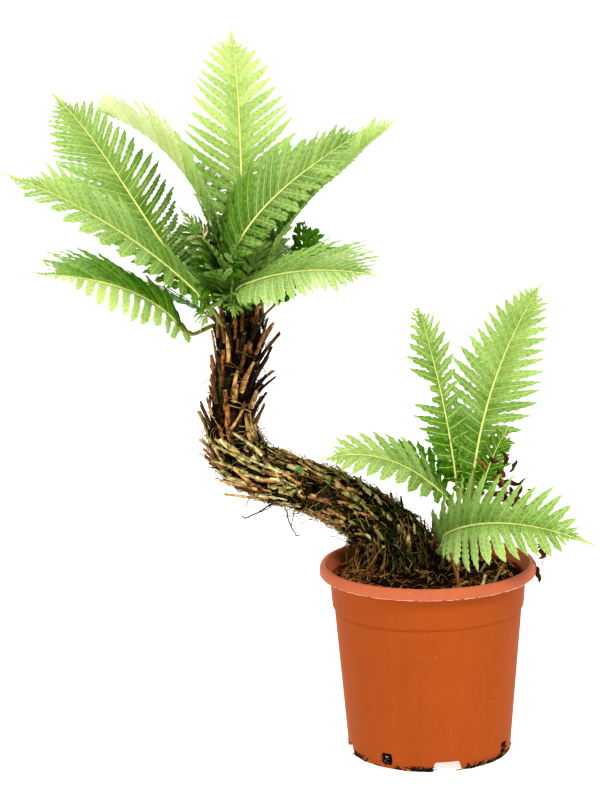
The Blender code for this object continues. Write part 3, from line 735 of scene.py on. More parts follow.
def bark_sticks(heap, limb, draw, count, span, lengths, leans, widths, palette, swing=0.10,
                right_lean=0):
    """Cut leaf bases on a spiral round a limb, each leaning out towards the crown."""
    first, last = span
    for number in range(count):
        share = first + (last - first) * (number + draw.uniform(0.1, 0.9)) / count
        angle = number * GOLDEN_ANGLE + draw.uniform(-0.35, 0.35)
        place, outward, tangent = limb.at(share, angle)
        lean = draw.uniform(*leans)
        if right_lean:
            lean += max(float(outward @ RIGHTWARD), 0) * right_lean * draw.uniform(0.5, 1.0)
        tilt = math.radians(lean)
        direction = unit(tangent * math.cos(tilt) + outward * math.sin(tilt)
                         + np.cross(outward, tangent) * draw.gauss(0, swing))
        length = draw.uniform(*lengths)
        width = draw.uniform(*widths)
        slot = pick(draw, palette)
        start = place - outward * (0.0015 + width * 0.2)
        stick(heap, draw, start, direction, outward, length, width, draw.uniform(0.5, 0.8), slot,
              CUT if draw.random() < 0.7 else slot, draw.uniform(-0.06, 0.12),
              draw.uniform(0.65, 1.0))


ARM = Limb(ARM_STATIONS, UP, BEND_NORMAL, 2)
NECK = Limb(NECK_STATIONS, BEND_NORMAL, UP, 0.5)
PUP = Limb(PUP_STATIONS, UP, UP, 0.5)
RIGHTWARD = np.array([1.0, 0.0, 0.2])
# Stubs by height: count, span from the limb's foot to its tip, lengths, leans, widths, shares of
# the six stick materials, sideways swing and, on the neck, how much more the right-hand ones lean
NECK_STUBS = (
    (36, (0.00, 0.32), (0.020, 0.034), (8, 20), (0.0044, 0.0070), (6, 5, 5, 0, 1, 4), 0.10, 20),
    (36, (0.26, 0.58), (0.022, 0.036), (6, 18), (0.0042, 0.0066), (7, 4, 5, 0, 0, 4), 0.10, 20),
    (34, (0.48, 0.74), (0.012, 0.026), (3, 18), (0.0028, 0.0048), (3, 1, 6, 0, 0, 5)),
)
ARM_STUBS = (
    (116, (0.58, 0.98), (0.014, 0.038), (2, 9), (0.0032, 0.0062), (4, 7, 3, 4, 7, 2), 0.12),
    (150, (0.32, 0.66), (0.008, 0.030), (1, 9), (0.0024, 0.0056), (2, 6, 2, 6, 8, 2), 0.13),
    (84, (0.12, 0.38), (0.005, 0.018), (4, 26), (0.0026, 0.0056), (0, 5, 3, 5, 7, 2), 0.16),
)
PUP_STUBS = (34, (0.02, 0.62), (0.012, 0.024), (6, 22), (0.0028, 0.0044), (4, 4, 4, 1, 1, 2))
# The large pale stick that bends round the elbow and a few others that stand out: start, end,
# bulge as a share of the length, width and material
KNOWN_STICKS = (
    ((-0.180, -0.029, 0.343), (-0.206, -0.029, 0.375), 0.22, 0.0056, STRAW),
    ((-0.212, -0.029, 0.374), (-0.198, -0.033, 0.394), 0.05, 0.0050, TAN),
    ((-0.192, -0.030, 0.336), (-0.232, -0.031, 0.358), 0.06, 0.0052, OLIVE),
    ((-0.196, -0.031, 0.324), (-0.234, -0.030, 0.341), 0.06, 0.0048, OLIVE),
    ((-0.186, -0.030, 0.306), (-0.226, -0.029, 0.318), 0.06, 0.0050, TAN),
    ((-0.176, -0.030, 0.330), (-0.200, -0.031, 0.344), 0.03, 0.0040, STRAW),
    ((-0.184, -0.028, 0.294), (-0.222, -0.024, 0.302), 0.08, 0.0044, TAN),
    ((-0.216, -0.026, 0.400), (-0.190, -0.028, 0.391), 0.02, 0.0018, TAN),
)


def build_trunk():
    heap = Heap()
    core(heap, ARM, 96, 0, 0.0032, 0.0014, 85)
    core(heap, NECK, 84, 0, 0.0026, 0.0030, 85)
    heap.build("trunk_bark", [BARK], ["trunk_arm", "trunk_neck"])
    draw = random.Random(17)
    heap = Heap()
    for stubs in NECK_STUBS:
        bark_sticks(heap, NECK, draw, *stubs)
    heap.build("trunk_neck_stubs", STICKS)
    heap = Heap()
    for stubs in ARM_STUBS:
        bark_sticks(heap, ARM, draw, *stubs)
    for start, end, bulge, width, slot in KNOWN_STICKS:
        run = np.subtract(end, start)
        stick(heap, draw, np.array(start), unit(run), unit(np.cross(run, (0, 1, 0))),
              np.linalg.norm(run), width, 0.7, slot, CUT, bulge, 0.8)
    heap.build("trunk_arm_stubs", STICKS)


def round_spot(draw, limb, first, last):
    """A random place on a limb between two shares of its length."""
    return limb.at(draw.uniform(first, last), draw.uniform(0, FULL_TURN))


def pick(draw, weights):
    """A random number from 0 on, by its weight."""
    return draw.choices(range(len(weights)), weights)[0]


def build_fibres():
    """Fine roots that mat the arm, wrap its foot and hang from its underside."""
    draw = random.Random(23)
    heap = Heap()
    for number in range(960):
        place, outward, tangent = round_spot(draw, ARM, 0.08, 0.97)
        swing = draw.gauss(0, 0.65)
        direction = tangent * math.cos(swing) + np.cross(outward, tangent) * math.sin(swing)
        length = draw.uniform(0.008, 0.034)
        path = wander(draw, place + outward * draw.uniform(0.0005, 0.0034), direction, length,
                      6, 0.26, -outward * 0.12)
        tube(heap, path, draw.uniform(0.0002, 0.00042), 4, pick(draw, (4, 2, 5, 5, 4)), draw=draw)
    for number in range(150):
        place, outward, tangent = round_spot(draw, NECK, 0.0, 0.6)
        direction = np.cross(outward, tangent) * draw.choice((-1, 1)) + tangent * draw.gauss(0, 0.6)
        path = wander(draw, place + outward * draw.uniform(0.0005, 0.005), direction,
                      draw.uniform(0.008, 0.024), 6, 0.25, -outward * 0.12)
        tube(heap, path, draw.uniform(0.0002, 0.0005), 4, pick(draw, (4, 2, 3, 0, 4)), draw=draw)
    for number in range(440):
        angle = draw.uniform(0, FULL_TURN)
        place, outward, tangent = ARM.at(draw.uniform(0.02, 0.28), angle)
        path = wander(draw, place, outward * 0.4 - UP, draw.uniform(0.014, 0.045), 8, 0.26,
                      (0, 0, -0.12))
        path = path[path[:, 2] > SOIL_MIDDLE - 0.004]
        if len(path) > 2:
            tube(heap, path, draw.uniform(0.0002, 0.00055), 4, pick(draw, (4, 2, 8, 3)), draw=draw)
    for number in range(260):
        place, outward, tangent = round_spot(draw, ARM, 0.22, 0.95)
        if outward[2] > -0.45:
            continue
        path = wander(draw, place, outward - 0.3 * UP, draw.uniform(0.005, 0.015), 5, 0.35)
        thin = np.linspace(0.00036, 0.00014, len(path))
        tube(heap, path, thin, 3, pick(draw, (3, 2, 4)), draw=draw)
    heap.build("trunk_fibres", ROOTS)


# The black roots under the arm: radius and route
HANGING_ROOTS = (
    (0.00075, ((-0.166, 0.004, 0.289), (-0.170, 0.0, 0.283), (-0.1875, -0.002, 0.2724),
               (-0.201, -0.002, 0.2662), (-0.2046, -0.002, 0.270))),
    (0.00045, ((-0.164, 0.008, 0.287), (-0.1753, 0.006, 0.275), (-0.1888, 0.006, 0.2696))),
    (0.00070, ((-0.157, 0.006, 0.283), (-0.156, 0.003, 0.2757), (-0.1514, 0.001, 0.2575),
               (-0.1448, 0.0, 0.2452), (-0.140, 0.0, 0.2463))),
    (0.00055, ((-0.145, 0.006, 0.280), (-0.146, 0.003, 0.272), (-0.1503, 0.001, 0.2563))),
    (0.00050, ((-0.187, 0.0, 0.294), (-0.1926, 0.0, 0.2902), (-0.1982, 0.0, 0.2846),
               (-0.200, 0.0, 0.279))),
    (0.00070, ((-0.224, 0.0, 0.3215), (-0.2302, 0.0, 0.3238), (-0.2404, 0.0, 0.3255))),
    (0.00060, ((-0.218, 0.0, 0.309), (-0.2251, 0.0, 0.3101), (-0.2334, 0.0, 0.3126))),
)


def build_hanging_roots():
    """The few long black roots that hang free under the arm."""
    draw = random.Random(29)
    heap = Heap()
    for thick, route in HANGING_ROOTS:
        route = np.array(route)
        fine = [start + (end - start) * step / 4 + scatter(draw, 0.0003)
                for start, end in zip(route, route[1:]) for step in range(4)]
        fine.append(route[-1])
        tube(heap, fine, np.linspace(thick * 1.3, thick * 0.8, len(fine)), 6, 0, draw=draw)
        for number in range(3):
            start = fine[draw.randrange(2, len(fine) - 1)]
            direction = (draw.uniform(-1, 1), draw.uniform(-0.6, 0.6), -0.6)
            branch = wander(draw, start, direction, 0.008, 4, 0.3)
            tube(heap, branch, np.linspace(0.0002, 0.0001, 5), 3, 0, draw=draw)
    heap.build("trunk_hanging_roots", [ROOT_BLACK])


# Bright tufts of moss: centre, size and number of blades
BRIGHT_TUFTS = (((-0.139, -0.017, 0.3235), 0.0016, 26), ((-0.109, -0.013, 0.308), 0.0010, 9))


def build_moss():
    """Short moss on the arm, densest on its upper side near the foot, and two bright tufts."""
    draw = random.Random(31)
    heap = Heap()
    tufts = [(draw.uniform(0.08, 0.42), draw.uniform(0, FULL_TURN), 9) for number in range(150)]
    tufts += [(draw.uniform(0.40, 0.75), draw.uniform(0, FULL_TURN), 5) for number in range(60)]
    for share, angle, blades in tufts:
        place, outward, tangent = ARM.at(share, angle)
        if outward[2] < -0.35:
            continue
        for blade in range(blades):
            spot = place + scatter(draw, 0.0022) + outward * 0.0008
            path = wander(draw, spot, outward + scatter(draw, 0.6), draw.uniform(0.0015, 0.0035),
                          2, 0.2)
            tube(heap, path, (0.0006, 0.0005, 0.0001), 4, 0)
    for centre, size, count in BRIGHT_TUFTS:
        for blade in range(count):
            spot = centre + scatter(draw, size)
            path = wander(draw, spot, (draw.gauss(0, 0.6), -0.6, 0.6), 0.003, 2, 0.3)
            tube(heap, path, (0.0008, 0.0009, 0.0002), 5, 1)
    heap.build("trunk_moss", [MOSS, MOSS_BRIGHT])


build_trunk()
build_fibres()
build_hanging_roots()
build_moss()


# Pup stem
def build_pup_stem():
    heap = Heap()
    core(heap, PUP, 48, len(STICKS), 0.0016, 0.0008, 110)
    bark_sticks(heap, PUP, random.Random(37), *PUP_STUBS)
    heap.build("pup_stem_bark", STICKS + [BARK], ["pup_stem"])


build_pup_stem()


# Soil
CRUST_RADIUS = 0.1046
# How far from the pot's axis roots on the soil start and reach
ROOT_START = 0.100
ROOT_REACH = 0.1035


def soil_height(x, y):
    """The height of the soil's broken surface inside the pot."""
    radius = math.hypot(x, y)
    edge = eased(0.084, 0.104, radius)
    height = SOIL_MIDDLE + (SOIL_EDGE - SOIL_MIDDLE) * edge
    lumps = noise.fractal(Vector((x * 60, y * 60, 3.0)), 0.8, 2.0, 3) * 0.0030
    crumbs = noise.fractal(Vector((x * 260, y * 260, 9.0)), 0.8, 2.0, 3) * 0.0012
    mound = 0.007 * math.exp(-(((x + 0.03) / 0.055) ** 2 + ((y - 0.045) / 0.045) ** 2))
    bank = 0.0065 * eased(0.03, 0.10, x) * eased(0.02, 0.09, radius)
    return height + 0.0008 + lumps + crumbs + mound + bank


def build_soil():
    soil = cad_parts["soil"].data
    soil.materials.clear()
    soil.materials.append(SOIL)
    heap = Heap()
    rows, sides = 90, 200
    points = np.zeros((rows, sides, 3))
    for row in range(rows):
        for side in range(sides):
            x, y, z = polar(CRUST_RADIUS * (row / (rows - 1)) + 0.0002, FULL_TURN * side / sides)
            points[row, side] = (x, y, soil_height(x, y))
    heap.add(points, grid_faces(rows, sides, closed=True), 0)
    heap.build("soil_crust", [SOIL])


# Roots on the soil: count, middle, spread, shares of tan, red and black, lengths and thicknesses
ROOT_PATCHES = (
    (300, (0.0, -0.02), (0.055, 0.050), (3, 2, 6), (0.010, 0.030), (0.0003, 0.0007)),
    (330, (-0.083, 0.020), (0.016, 0.034), (4, 6, 3), (0.012, 0.030), (0.0003, 0.0007)),
    (200, (-0.025, -0.080), (0.040, 0.010), (8, 2, 4), (0.012, 0.030), (0.0003, 0.0008)),
    (190, (0.065, -0.030), (0.022, 0.038), (5, 5, 4), (0.010, 0.026), (0.0003, 0.0008)),
)
# Straws and stalks in the soil: foot, direction, length, width and material
STRAWS = (
    ((0.031, 0.005), (0.25, -0.5, 0.9), 0.022, 0.0032, STRAW),
    ((0.058, 0.003), (0.5, -0.3, 0.9), 0.026, 0.0036, STRAW),
    ((0.033, -0.022), (-0.1, -0.2, 1.0), 0.050, 0.0034, REDDISH),
    ((0.040, -0.018), (0.15, -0.1, 1.0), 0.042, 0.0030, REDDISH),
    ((0.048, -0.012), (0.3, -0.2, 1.0), 0.036, 0.0030, UMBER),
    ((-0.020, -0.050), (0.8, 0.5, 0.15), 0.030, 0.0014, TAN),
    ((-0.060, -0.030), (0.6, -0.8, 0.12), 0.034, 0.0014, TAN),
    ((0.010, -0.062), (0.9, 0.2, 0.2), 0.026, 0.0016, TAN),
    ((0.072, 0.030), (-0.2, -0.5, 0.8), 0.030, 0.0030, REDDISH),
    ((0.020, 0.000), (0.9, -0.1, 0.35), 0.032, 0.0018, TAN),
    ((0.050, -0.078), (0.35, 0.1, 0.9), 0.026, 0.0052, STRAW),
    ((0.029, -0.074), (0.0, 0.15, 1.0), 0.030, 0.0042, REDDISH),
    ((0.034, -0.060), (-0.25, 0.3, 1.0), 0.046, 0.0036, REDDISH),
    ((0.066, -0.055), (0.5, 0.2, 0.8), 0.028, 0.0030, TAN),
    ((0.004, -0.066), (0.9, 0.2, 0.30), 0.040, 0.0018, STRAW),
    ((0.056, -0.040), (0.9, 0.3, 0.35), 0.034, 0.0022, STRAW),
)
# Headings in degrees round which roots lie along the pot's foot, and their spread
FOOT_ROOTS = ((258, 9), (310, 10), (325, 8), (78, 10), (150, 12), (200, 10))


def build_soil_roots():
    """Roots and fibres that lie on the soil, thicker at the left and along the front."""
    draw = random.Random(43)
    heap = Heap()
    steps = 7
    for count, centre, size, palette, lengths, thicks in ROOT_PATCHES:
        for number in range(count):
            x, y = draw.gauss(centre[0], size[0]), draw.gauss(centre[1], size[1])
            if math.hypot(x, y) > ROOT_START:
                continue
            direction = polar(1, draw.uniform(0, FULL_TURN))
            path = wander(draw, (x, y, 0), direction, draw.uniform(*lengths), steps, 0.35)
            arch = draw.uniform(0.0, 0.006)
            kept = []
            for step, (x, y, z) in enumerate(path):
                if math.hypot(x, y) > ROOT_REACH:
                    break
                rise = arch * math.sin(math.pi * step / steps)
                kept.append((x, y, soil_height(x, y) + rise + 0.0006))
            if len(kept) > 3:
                tube(heap, kept, draw.uniform(*thicks), 4, pick(draw, palette), draw=draw)
    heap.build("soil_roots", ROOTS)
    heap = Heap()
    for (x, y), direction, length, width, slot in STRAWS:
        start = np.array((x, y, soil_height(x, y) - 0.002))
        outward = unit(np.cross(direction, (0.3, 0.8, 0.1)))
        stick(heap, draw, start, unit(direction), outward, length, width, 0.7, slot, CUT, 0.03, 0.9)
    heap.build("soil_stalks", STICKS)
    build_drain_roots(draw)


def build_drain_roots(draw):
    """Roots that show along the pot's foot and in its drainage holes."""
    heap = Heap()
    for number in range(420):
        heading = draw.gauss(*draw.choice(FOOT_ROOTS))
        if min(abs((heading - notch + 180) % 360 - 180) for notch in NOTCH_HEADINGS) < 11:
            continue
        angle = math.radians(heading)
        start = np.array(polar(BASE_RADIUS, angle, 0.0012))
        rise = draw.choice((-1, 1))
        path = wander(draw, start, (-rise * math.sin(angle), rise * math.cos(angle), 0.25),
                      draw.uniform(0.004, 0.012), 5, 0.25, -start * 2)
        reach = np.linalg.norm(path[:, :2], axis=1)
        path[:, :2] *= ((BASE_RADIUS + 0.0004 + path[:, 2] * 0.08) / reach)[:, None]
        path[:, 2] = np.clip(path[:, 2], 0.0006, 0.006)
        tube(heap, path, draw.uniform(0.0003, 0.0007), 4, pick(draw, (9, 1)), draw=draw)
    for heading in HOLE_HEADINGS:
        angle = math.radians(heading)
        outward = np.array(polar(1, angle))
        sideways = np.array((-math.sin(angle), math.cos(angle), 0))
        for number in range(90):
            across = draw.uniform(-0.5, 0.5) * HOLE_SIZE[0]
            height = HOLE_FOOT + draw.uniform(0.0, 0.0115)
            start = outward * 0.0865 + sideways * across + UP * height
            path = wander(draw, start, outward * 0.8 + sideways * draw.gauss(0, 0.8) - UP * 0.3,
                          draw.uniform(0.003, 0.0065), 4, 0.45)
            path[:, 2] = np.maximum(path[:, 2], 0.0008)
            tube(heap, path, draw.uniform(0.0003, 0.0008), 4, pick(draw, (8, 1)), draw=draw)
    heap.build("drain_roots", [ROOT_BLACK, ROOT_TAN])


build_soil()
build_soil_roots()


# Fronds
Frond = namedtuple(
    "Frond",
    "name stem foot_heading foot_height start heading sweep climb length bare width roll lift "
    "spread leaf")

FRONDS = (
    Frond("crown_frond_front_right", "crown", 206, 0.489, (0.005, 84), 342, 1, (92, 44, 34),
          0.282, 0.16, 0.077, (50, 33), 7, 1.05, "mature"),
    Frond("crown_frond_low_right", "crown", 256, 0.489, (0.034, 84), 302, 11, (20, 9, -3),
          0.244, 0.12, 0.083, (31, 26), 4, 0.72, "mature"),
    Frond("crown_frond_middle_left", "crown", 232, 0.488, (0.004, 84), 218, -32, (47, 36, 21),
          0.302, 0.14, 0.080, (-34, -24), 6, 1.12, "mature"),
    Frond("crown_frond_low_left", "crown", 187, 0.483, (0.034, -15), 220, 15, (52, 19, 12),
          0.247, 0.22, 0.075, (-57, -10), 2, 0.95, "mature"),
    Frond("crown_frond_upright", "crown", 77, 0.490, (0.014, 84), 88, 9, (97, 59, 33),
          0.355, 0.20, 0.072, (-22, 14), -3, 1.18, "young"),
    Frond("crown_frond_right", "crown", 0, 0.486, (0.002, 84), 0, -2, (97, 47, 46),
          0.283, 0.20, 0.066, (10, 19), 18, 1.00, "young"),
    Frond("crown_frond_arching_left", "crown", 122, 0.488, (0.011, 84), 137, -5, (92, 40, 5),
          0.337, 0.20, 0.069, (40, 27), 13, 1.13, "young"),
    Frond("crown_frond_high_left", "crown", 174, 0.488, (0.004, 84), 147, -5, (38, 51, 33),
          0.334, 0.18, 0.084, (3, -36), -4, 1.07, "mature"),
    Frond("crown_frond_back", "crown", 55, 0.486, (0.0, 84), 92, 0, (62, 30, 0),
          0.250, 0.18, 0.058, (0, 0), 10, 1.0, "mature"),
    Frond("crown_frond_back_left", "crown", 143, 0.486, (0.0, 84), 120, 0, (48, 14, -14),
          0.280, 0.18, 0.062, (0, 0), 10, 1.0, "mature"),
    Frond("crown_frond_low_back_left", "crown", 152, 0.480, (0.0, 84), 165, 0, (40, 20, 0),
          0.125, 0.20, 0.036, (25, 25), 4, 1.0, "shaded"),
    Frond("crown_frond_low_back_right", "crown", 30, 0.488, (0.0, 84), 62, 0, (55, 5, -25),
          0.250, 0.18, 0.050, (0, 0), 8, 1.0, "shaded"),
    Frond("crown_frond_small", "crown", 338, 0.487, (0.0, 84), 10, 50, (42, 52, 110),
          0.125, 0.55, 0.024, (0, 0), 8, 1.0, "shaded"),
    Frond("pup_frond_tall_right", "pup", 59, 0.247, (0.011, 84), 60, -2, (84, 47, 30),
          0.315, 0.18, 0.064, (48, 7), 9, 1.04, "young"),
    Frond("pup_frond_over_rim", "soil", 0, 0.0, (0.038, 84), 287, 41, (27, 8, -17),
          0.244, 0.08, 0.076, (68, 66), 18, 0.88, "mature"),
    Frond("pup_frond_tall_left", "pup", 127, 0.246, (0.002, 84), 132, 1, (86, 75, 68),
          0.239, 0.20, 0.042, (-24, -24), 12, 1.15, "young"),
    Frond("pup_frond_arching_left", "pup", 250, 0.246, (0.005, 84), 208, 0, (51, 28, -13),
          0.214, 0.16, 0.059, (-42, -29), 5, 1.0, "mature"),
    Frond("pup_frond_short_left", "pup", 165, 0.247, (0.0, 84), 178, 6, (74, 45, 10),
          0.130, 0.22, 0.038, (-30, -30), 8, 1.0, "shaded"),
    Frond("pup_frond_short_right", "pup", 5, 0.246, (0.0, 84), 20, 0, (80, 68, 55),
          0.115, 0.30, 0.030, (20, 20), 8, 1.0, "shaded"),
    Frond("pup_frond_back", "pup", 92, 0.244, (0.0, 84), 92, 0, (65, 35, 0),
          0.190, 0.20, 0.044, (0, 0), 8, 1.0, "mature"),
    Frond("pup_frond_dead", "pup", 335, 0.236, (0.010, 84), 352, 0, (80, -45, -100),
          0.140, 0.35, 0.014, (0, 0), 0, 1.0, "dead"),
)
OVER_RIM_FOOT = Vector((0.019, 0.033, SOIL_MIDDLE))
START_BLEND = 0.030
ROOT_SHARE = 0.55
SWELL_SHARE = 0.3
SHORTEST = 0.006
ROOT_ANGLE = 82
ANGLE_LOSS = 44
TIP_SWEEP = 0.10

# How a frond's leaflets look. pitch is their spacing at the frond's foot, middle and tip. fuse is
# the share of their length that is joined to the next one, at the foot and at the tip, and fill
# their width beyond that. body is where their points begin and point how full these are. wave, at
# foot and tip, and ripple tell how far their margins waver in the blade and out of it, and droop
# how far they hang. tilt below 1 sets them steeper with their tips where they were. tones are the
# steps on the ramp of greens at foot, middle and tip, and under adds to them for the lower face.
# The fronds whose leaf is shaded, and those of the crown's heart, have low tones: their dark greens
# are painted shade
Look = namedtuple("Look", "pitch fuse fill body point wave ripple droop tilt tones under midrib")
BACK_LOOK = Look((0.0125, 0.0135, 0.0130), (0.08, 0.42), (0.84, 0.92), 0.62, 1.6, (0.18, 0.06), 1.3,
                 0.03, 1.0, (4.0, 6.0, 7.6), 0.8, "pale")
LOOKS = {
    "crown_frond_upright": Look(
        (0.012, 0.016, 0.0185), (0.02, 0.32), (0.74, 0.88), 0.5, 1.45, (0.32, 0.04), 1.5, 0.0,
        0.78, (5.5, 8.4, 11.4), 0.0, "soft"),
    "crown_frond_high_left": Look(
        (0.0108, 0.0112, 0.0108), (0.14, 0.42), (0.78, 0.87), 0.68, 1.5, (0.28, 0.12), 1.4, 0.0,
        1.0, (3.8, 6.0, 7.8), 0.0, "pale"),
    "crown_frond_middle_left": Look(
        (0.0118, 0.012, 0.012), (0.62, 0.52), (0.94, 0.9), 0.55, 1.5, (0.14, 0.08), 1.2, 0.03,
        1.0, (4.3, 6.7, 8.4), 0.8, "pale"),
    "crown_frond_low_left": Look(
        (0.0125, 0.0135, 0.0105), (0.1, 0.34), (0.84, 0.88), 0.6, 1.5, (0.18, 0.18), 1.3, 0.05,
        1.0, (3.4, 5.0, 9.4), 3.4, "pale"),
    "crown_frond_arching_left": Look(
        (0.015, 0.0175, 0.015), (0.12, 0.9), (0.88, 1.0), 0.78, 2.4, (0.24, 0.05), 1.8, 0.05,
        0.95, (5.6, 11.4, 12.2), 0.6, "soft"),
    "crown_frond_front_right": Look(
        (0.0112, 0.0118, 0.0125), (0.50, 0.62), (0.94, 0.94), 0.7, 1.7, (0.20, 0.08), 1.3, 0.02,
        1.0, (3.4, 6.3, 5.4), 1.0, "pale"),
    "crown_frond_right": Look(
        (0.0122, 0.0128, 0.0150), (0.12, 0.40), (0.86, 0.92), 0.60, 1.5, (0.16, 0.06), 1.2, 0.02,
        0.9, (5.5, 9.2, 10.4), 0.5, "soft"),
    "crown_frond_low_right": Look(
        (0.0115, 0.0122, 0.013), (0.3, 0.5), (0.9, 0.94), 0.68, 1.5, (0.16, 0.08), 1.6, 0.03,
        1.0, (4.6, 5.8, 6.0), 2.4, "pale"),
    "crown_frond_back": BACK_LOOK,
    "crown_frond_back_left": BACK_LOOK,
    "crown_frond_low_back_left": Look(
        (0.0090, 0.0090, 0.0085), (0.0, 0.20), (0.80, 0.86), 0.78, 2.4, (0.10, 0.05), 0.8, 0.05,
        1.0, (0.8, 1.4, 2.2), 0.6, "dark"),
    "crown_frond_low_back_right": Look(
        (0.0115, 0.0120, 0.0120), (0.08, 0.30), (0.84, 0.88), 0.66, 1.7, (0.16, 0.08), 1.2, 0.05,
        1.0, (1.0, 2.4, 3.6), 0.6, "dark"),
    "crown_frond_small": Look(
        (0.0088, 0.0088, 0.0076), (0.0, 0.1), (1.0, 1.0), 0.72, 2.6, (0.3, 0.24), 3.2, 0.15,
        1.0, (0.6, 1.6, 2.6), 0.6, "dark"),
    "pup_frond_tall_right": Look(
        (0.0115, 0.0152, 0.0168), (0.06, 0.54), (0.84, 0.96), 0.5, 1.25, (0.28, 0.04), 1.5, 0.02,
        1.0, (4.2, 7.0, 8.6), 0.0, "soft"),
    "pup_frond_over_rim": Look(
        (0.0135, 0.0165, 0.0155), (0.42, 0.26), (0.92, 0.84), 0.5, 1.2, (0.15, 0.12), 1.5, 0.02,
        1.0, (5.6, 6.0, 6.6), 1.4, "pale"),
    "pup_frond_tall_left": Look(
        (0.012, 0.013, 0.013), (0.04, 0.32), (0.7, 0.8), 0.5, 1.25, (0.36, 0.16), 2.4, 0.02,
        1.0, (3.0, 5.3, 6.8), 0.0, "soft"),
    "pup_frond_arching_left": Look(
        (0.0165, 0.0185, 0.017), (0.2, 0.32), (0.84, 0.84), 0.6, 1.5, (0.16, 0.12), 1.6, 0.03,
        1.0, (4.3, 7.4, 8.6), 0.8, "pale"),
    "pup_frond_short_left": Look(
        (0.0104, 0.0104, 0.0100), (0.05, 0.25), (0.82, 0.86), 0.66, 1.7, (0.18, 0.12), 1.6, 0.10,
        1.0, (1.4, 2.8, 4.2), 0.5, "dark"),
    "pup_frond_short_right": Look(
        (0.0100, 0.0100, 0.0100), (0.05, 0.25), (0.82, 0.86), 0.66, 1.7, (0.22, 0.14), 2.2, 0.10,
        1.0, (2.4, 3.8, 5.0), 0.5, "soft"),
    "pup_frond_back": Look(
        (0.0125, 0.0135, 0.0130), (0.08, 0.32), (0.84, 0.88), 0.62, 1.6, (0.18, 0.08), 1.4, 0.04,
        1.0, (2.8, 4.4, 5.8), 0.6, "soft"),
    "pup_frond_dead": Look(
        (0.0070, 0.0070, 0.0070), (0.0, 0.10), (1.10, 1.10), 0.50, 1.5, (0.35, 0.35), 3.0, 0.50,
        1.0, (DEAD_TONE, DEAD_TONE, DEAD_TONE), 0.0, "dead"),
}
HEART_LOOK = Look((0.0100, 0.0104, 0.0092), (0.0, 0.12), (0.76, 0.76), 0.64, 1.9, (0.14, 0.12), 1.4,
                  0.10, 1.0, (2.6, 5.2, 6.8), 0.8, "dark")
HEART_LOOKS = {"shaded": HEART_LOOK,
               "mature": HEART_LOOK._replace(tones=(3.6, 5.6, 7.0), midrib="soft")}
SMALL_FROND_GROWTH = 1.2
# How far the greens of neighbouring leaflets differ, in the crown's heart and elsewhere
HEART_SPREAD = 1.9
TONE_SPREAD = 0.7
ROWS_LEAST = 10
ROW_LENGTH = 0.0038
COLUMNS = (-1, -0.6, -0.25, 0.25, 0.6, 1)
MIDRIB_HALF = 0.00040
LEAF_THICK = 0.0004
LAST_SHARE = 0.985
# How much smaller the lowest leaflets are
USUAL_SHRINK = 0.8
BASAL_SHRINK = {"crown_frond_low_right": 0.30, "crown_frond_middle_left": 0.5}
# Shares of the blade at which a look's three spacings hold
PITCH_SHARES = (0, 0.5, 0.78)
# No leaflets where the tip leaves less room, and how their spacing shrinks with their length
LEAST_ROOM = 0.0026
TIP_PITCH = 0.0014
TIP_PITCH_GROWTH = 0.36
# The length of the drawn-out tip, and how fast the leaflets' reach grows below it
TIPS = {
    "crown_frond_upright": (0.022, 1.25),
    "crown_frond_middle_left": (0.026, 1.3),
    "crown_frond_low_left": (0.010, 1.5),
    "pup_frond_over_rim": (0.028, 1.4),
    "pup_frond_tall_left": (0.003, 3.5),
    "crown_frond_small": (0.003, 3.5),
}
USUAL_TIP = (0.020, 1.5)
TIP_SHARE = 0.075
# More lift in degrees for the leaflets of one side, at the foot and from the middle on
LIFTS = {("crown_frond_arching_left", -1): (15, 15), ("crown_frond_arching_left", 1): (36, 0)}
# Less lift in degrees for the lowest leaflets and for short ones
BASAL_FALL = 22
SHORT_FALL = 16
# The spread of the leaflets' lengths, as a share, and of their angles and lifts in degrees
USUAL_UNEVEN = 0.03
UNEVEN = {"pup_frond_over_rim": 0.09, "crown_frond_low_left": 0.07, "crown_frond_middle_left": 0.08}
ANGLE_SPREAD = 2.2
LIFT_SPREAD = 3.5
TERMINAL_SHARE = 1.6
TERMINAL_START = 0.007
TERMINAL_HALF = 0.0042
WIDE_FROND = 0.078
RIB_LIFT = 0.6
# Sides with shorter, rounder leaflets: the share of the blade up to which they are and where that
# ends, how much they are cut by, and how round they are
SHORT_SIDES = {
    ("crown_frond_front_right", 1): (0.15, 0.90, 0.50, 0.45),
    ("crown_frond_middle_left", -1): (0.55, 0.95, 0.22, 0.0),
    ("crown_frond_low_left", -1): (0.9, 1.2, 0.22, 0.0),
    ("crown_frond_low_right", 1): (0.2, 0.7, 0.12, 0.3),
    ("pup_frond_tall_left", 1): (0.40, 0.85, 0.36, 0.2),
}
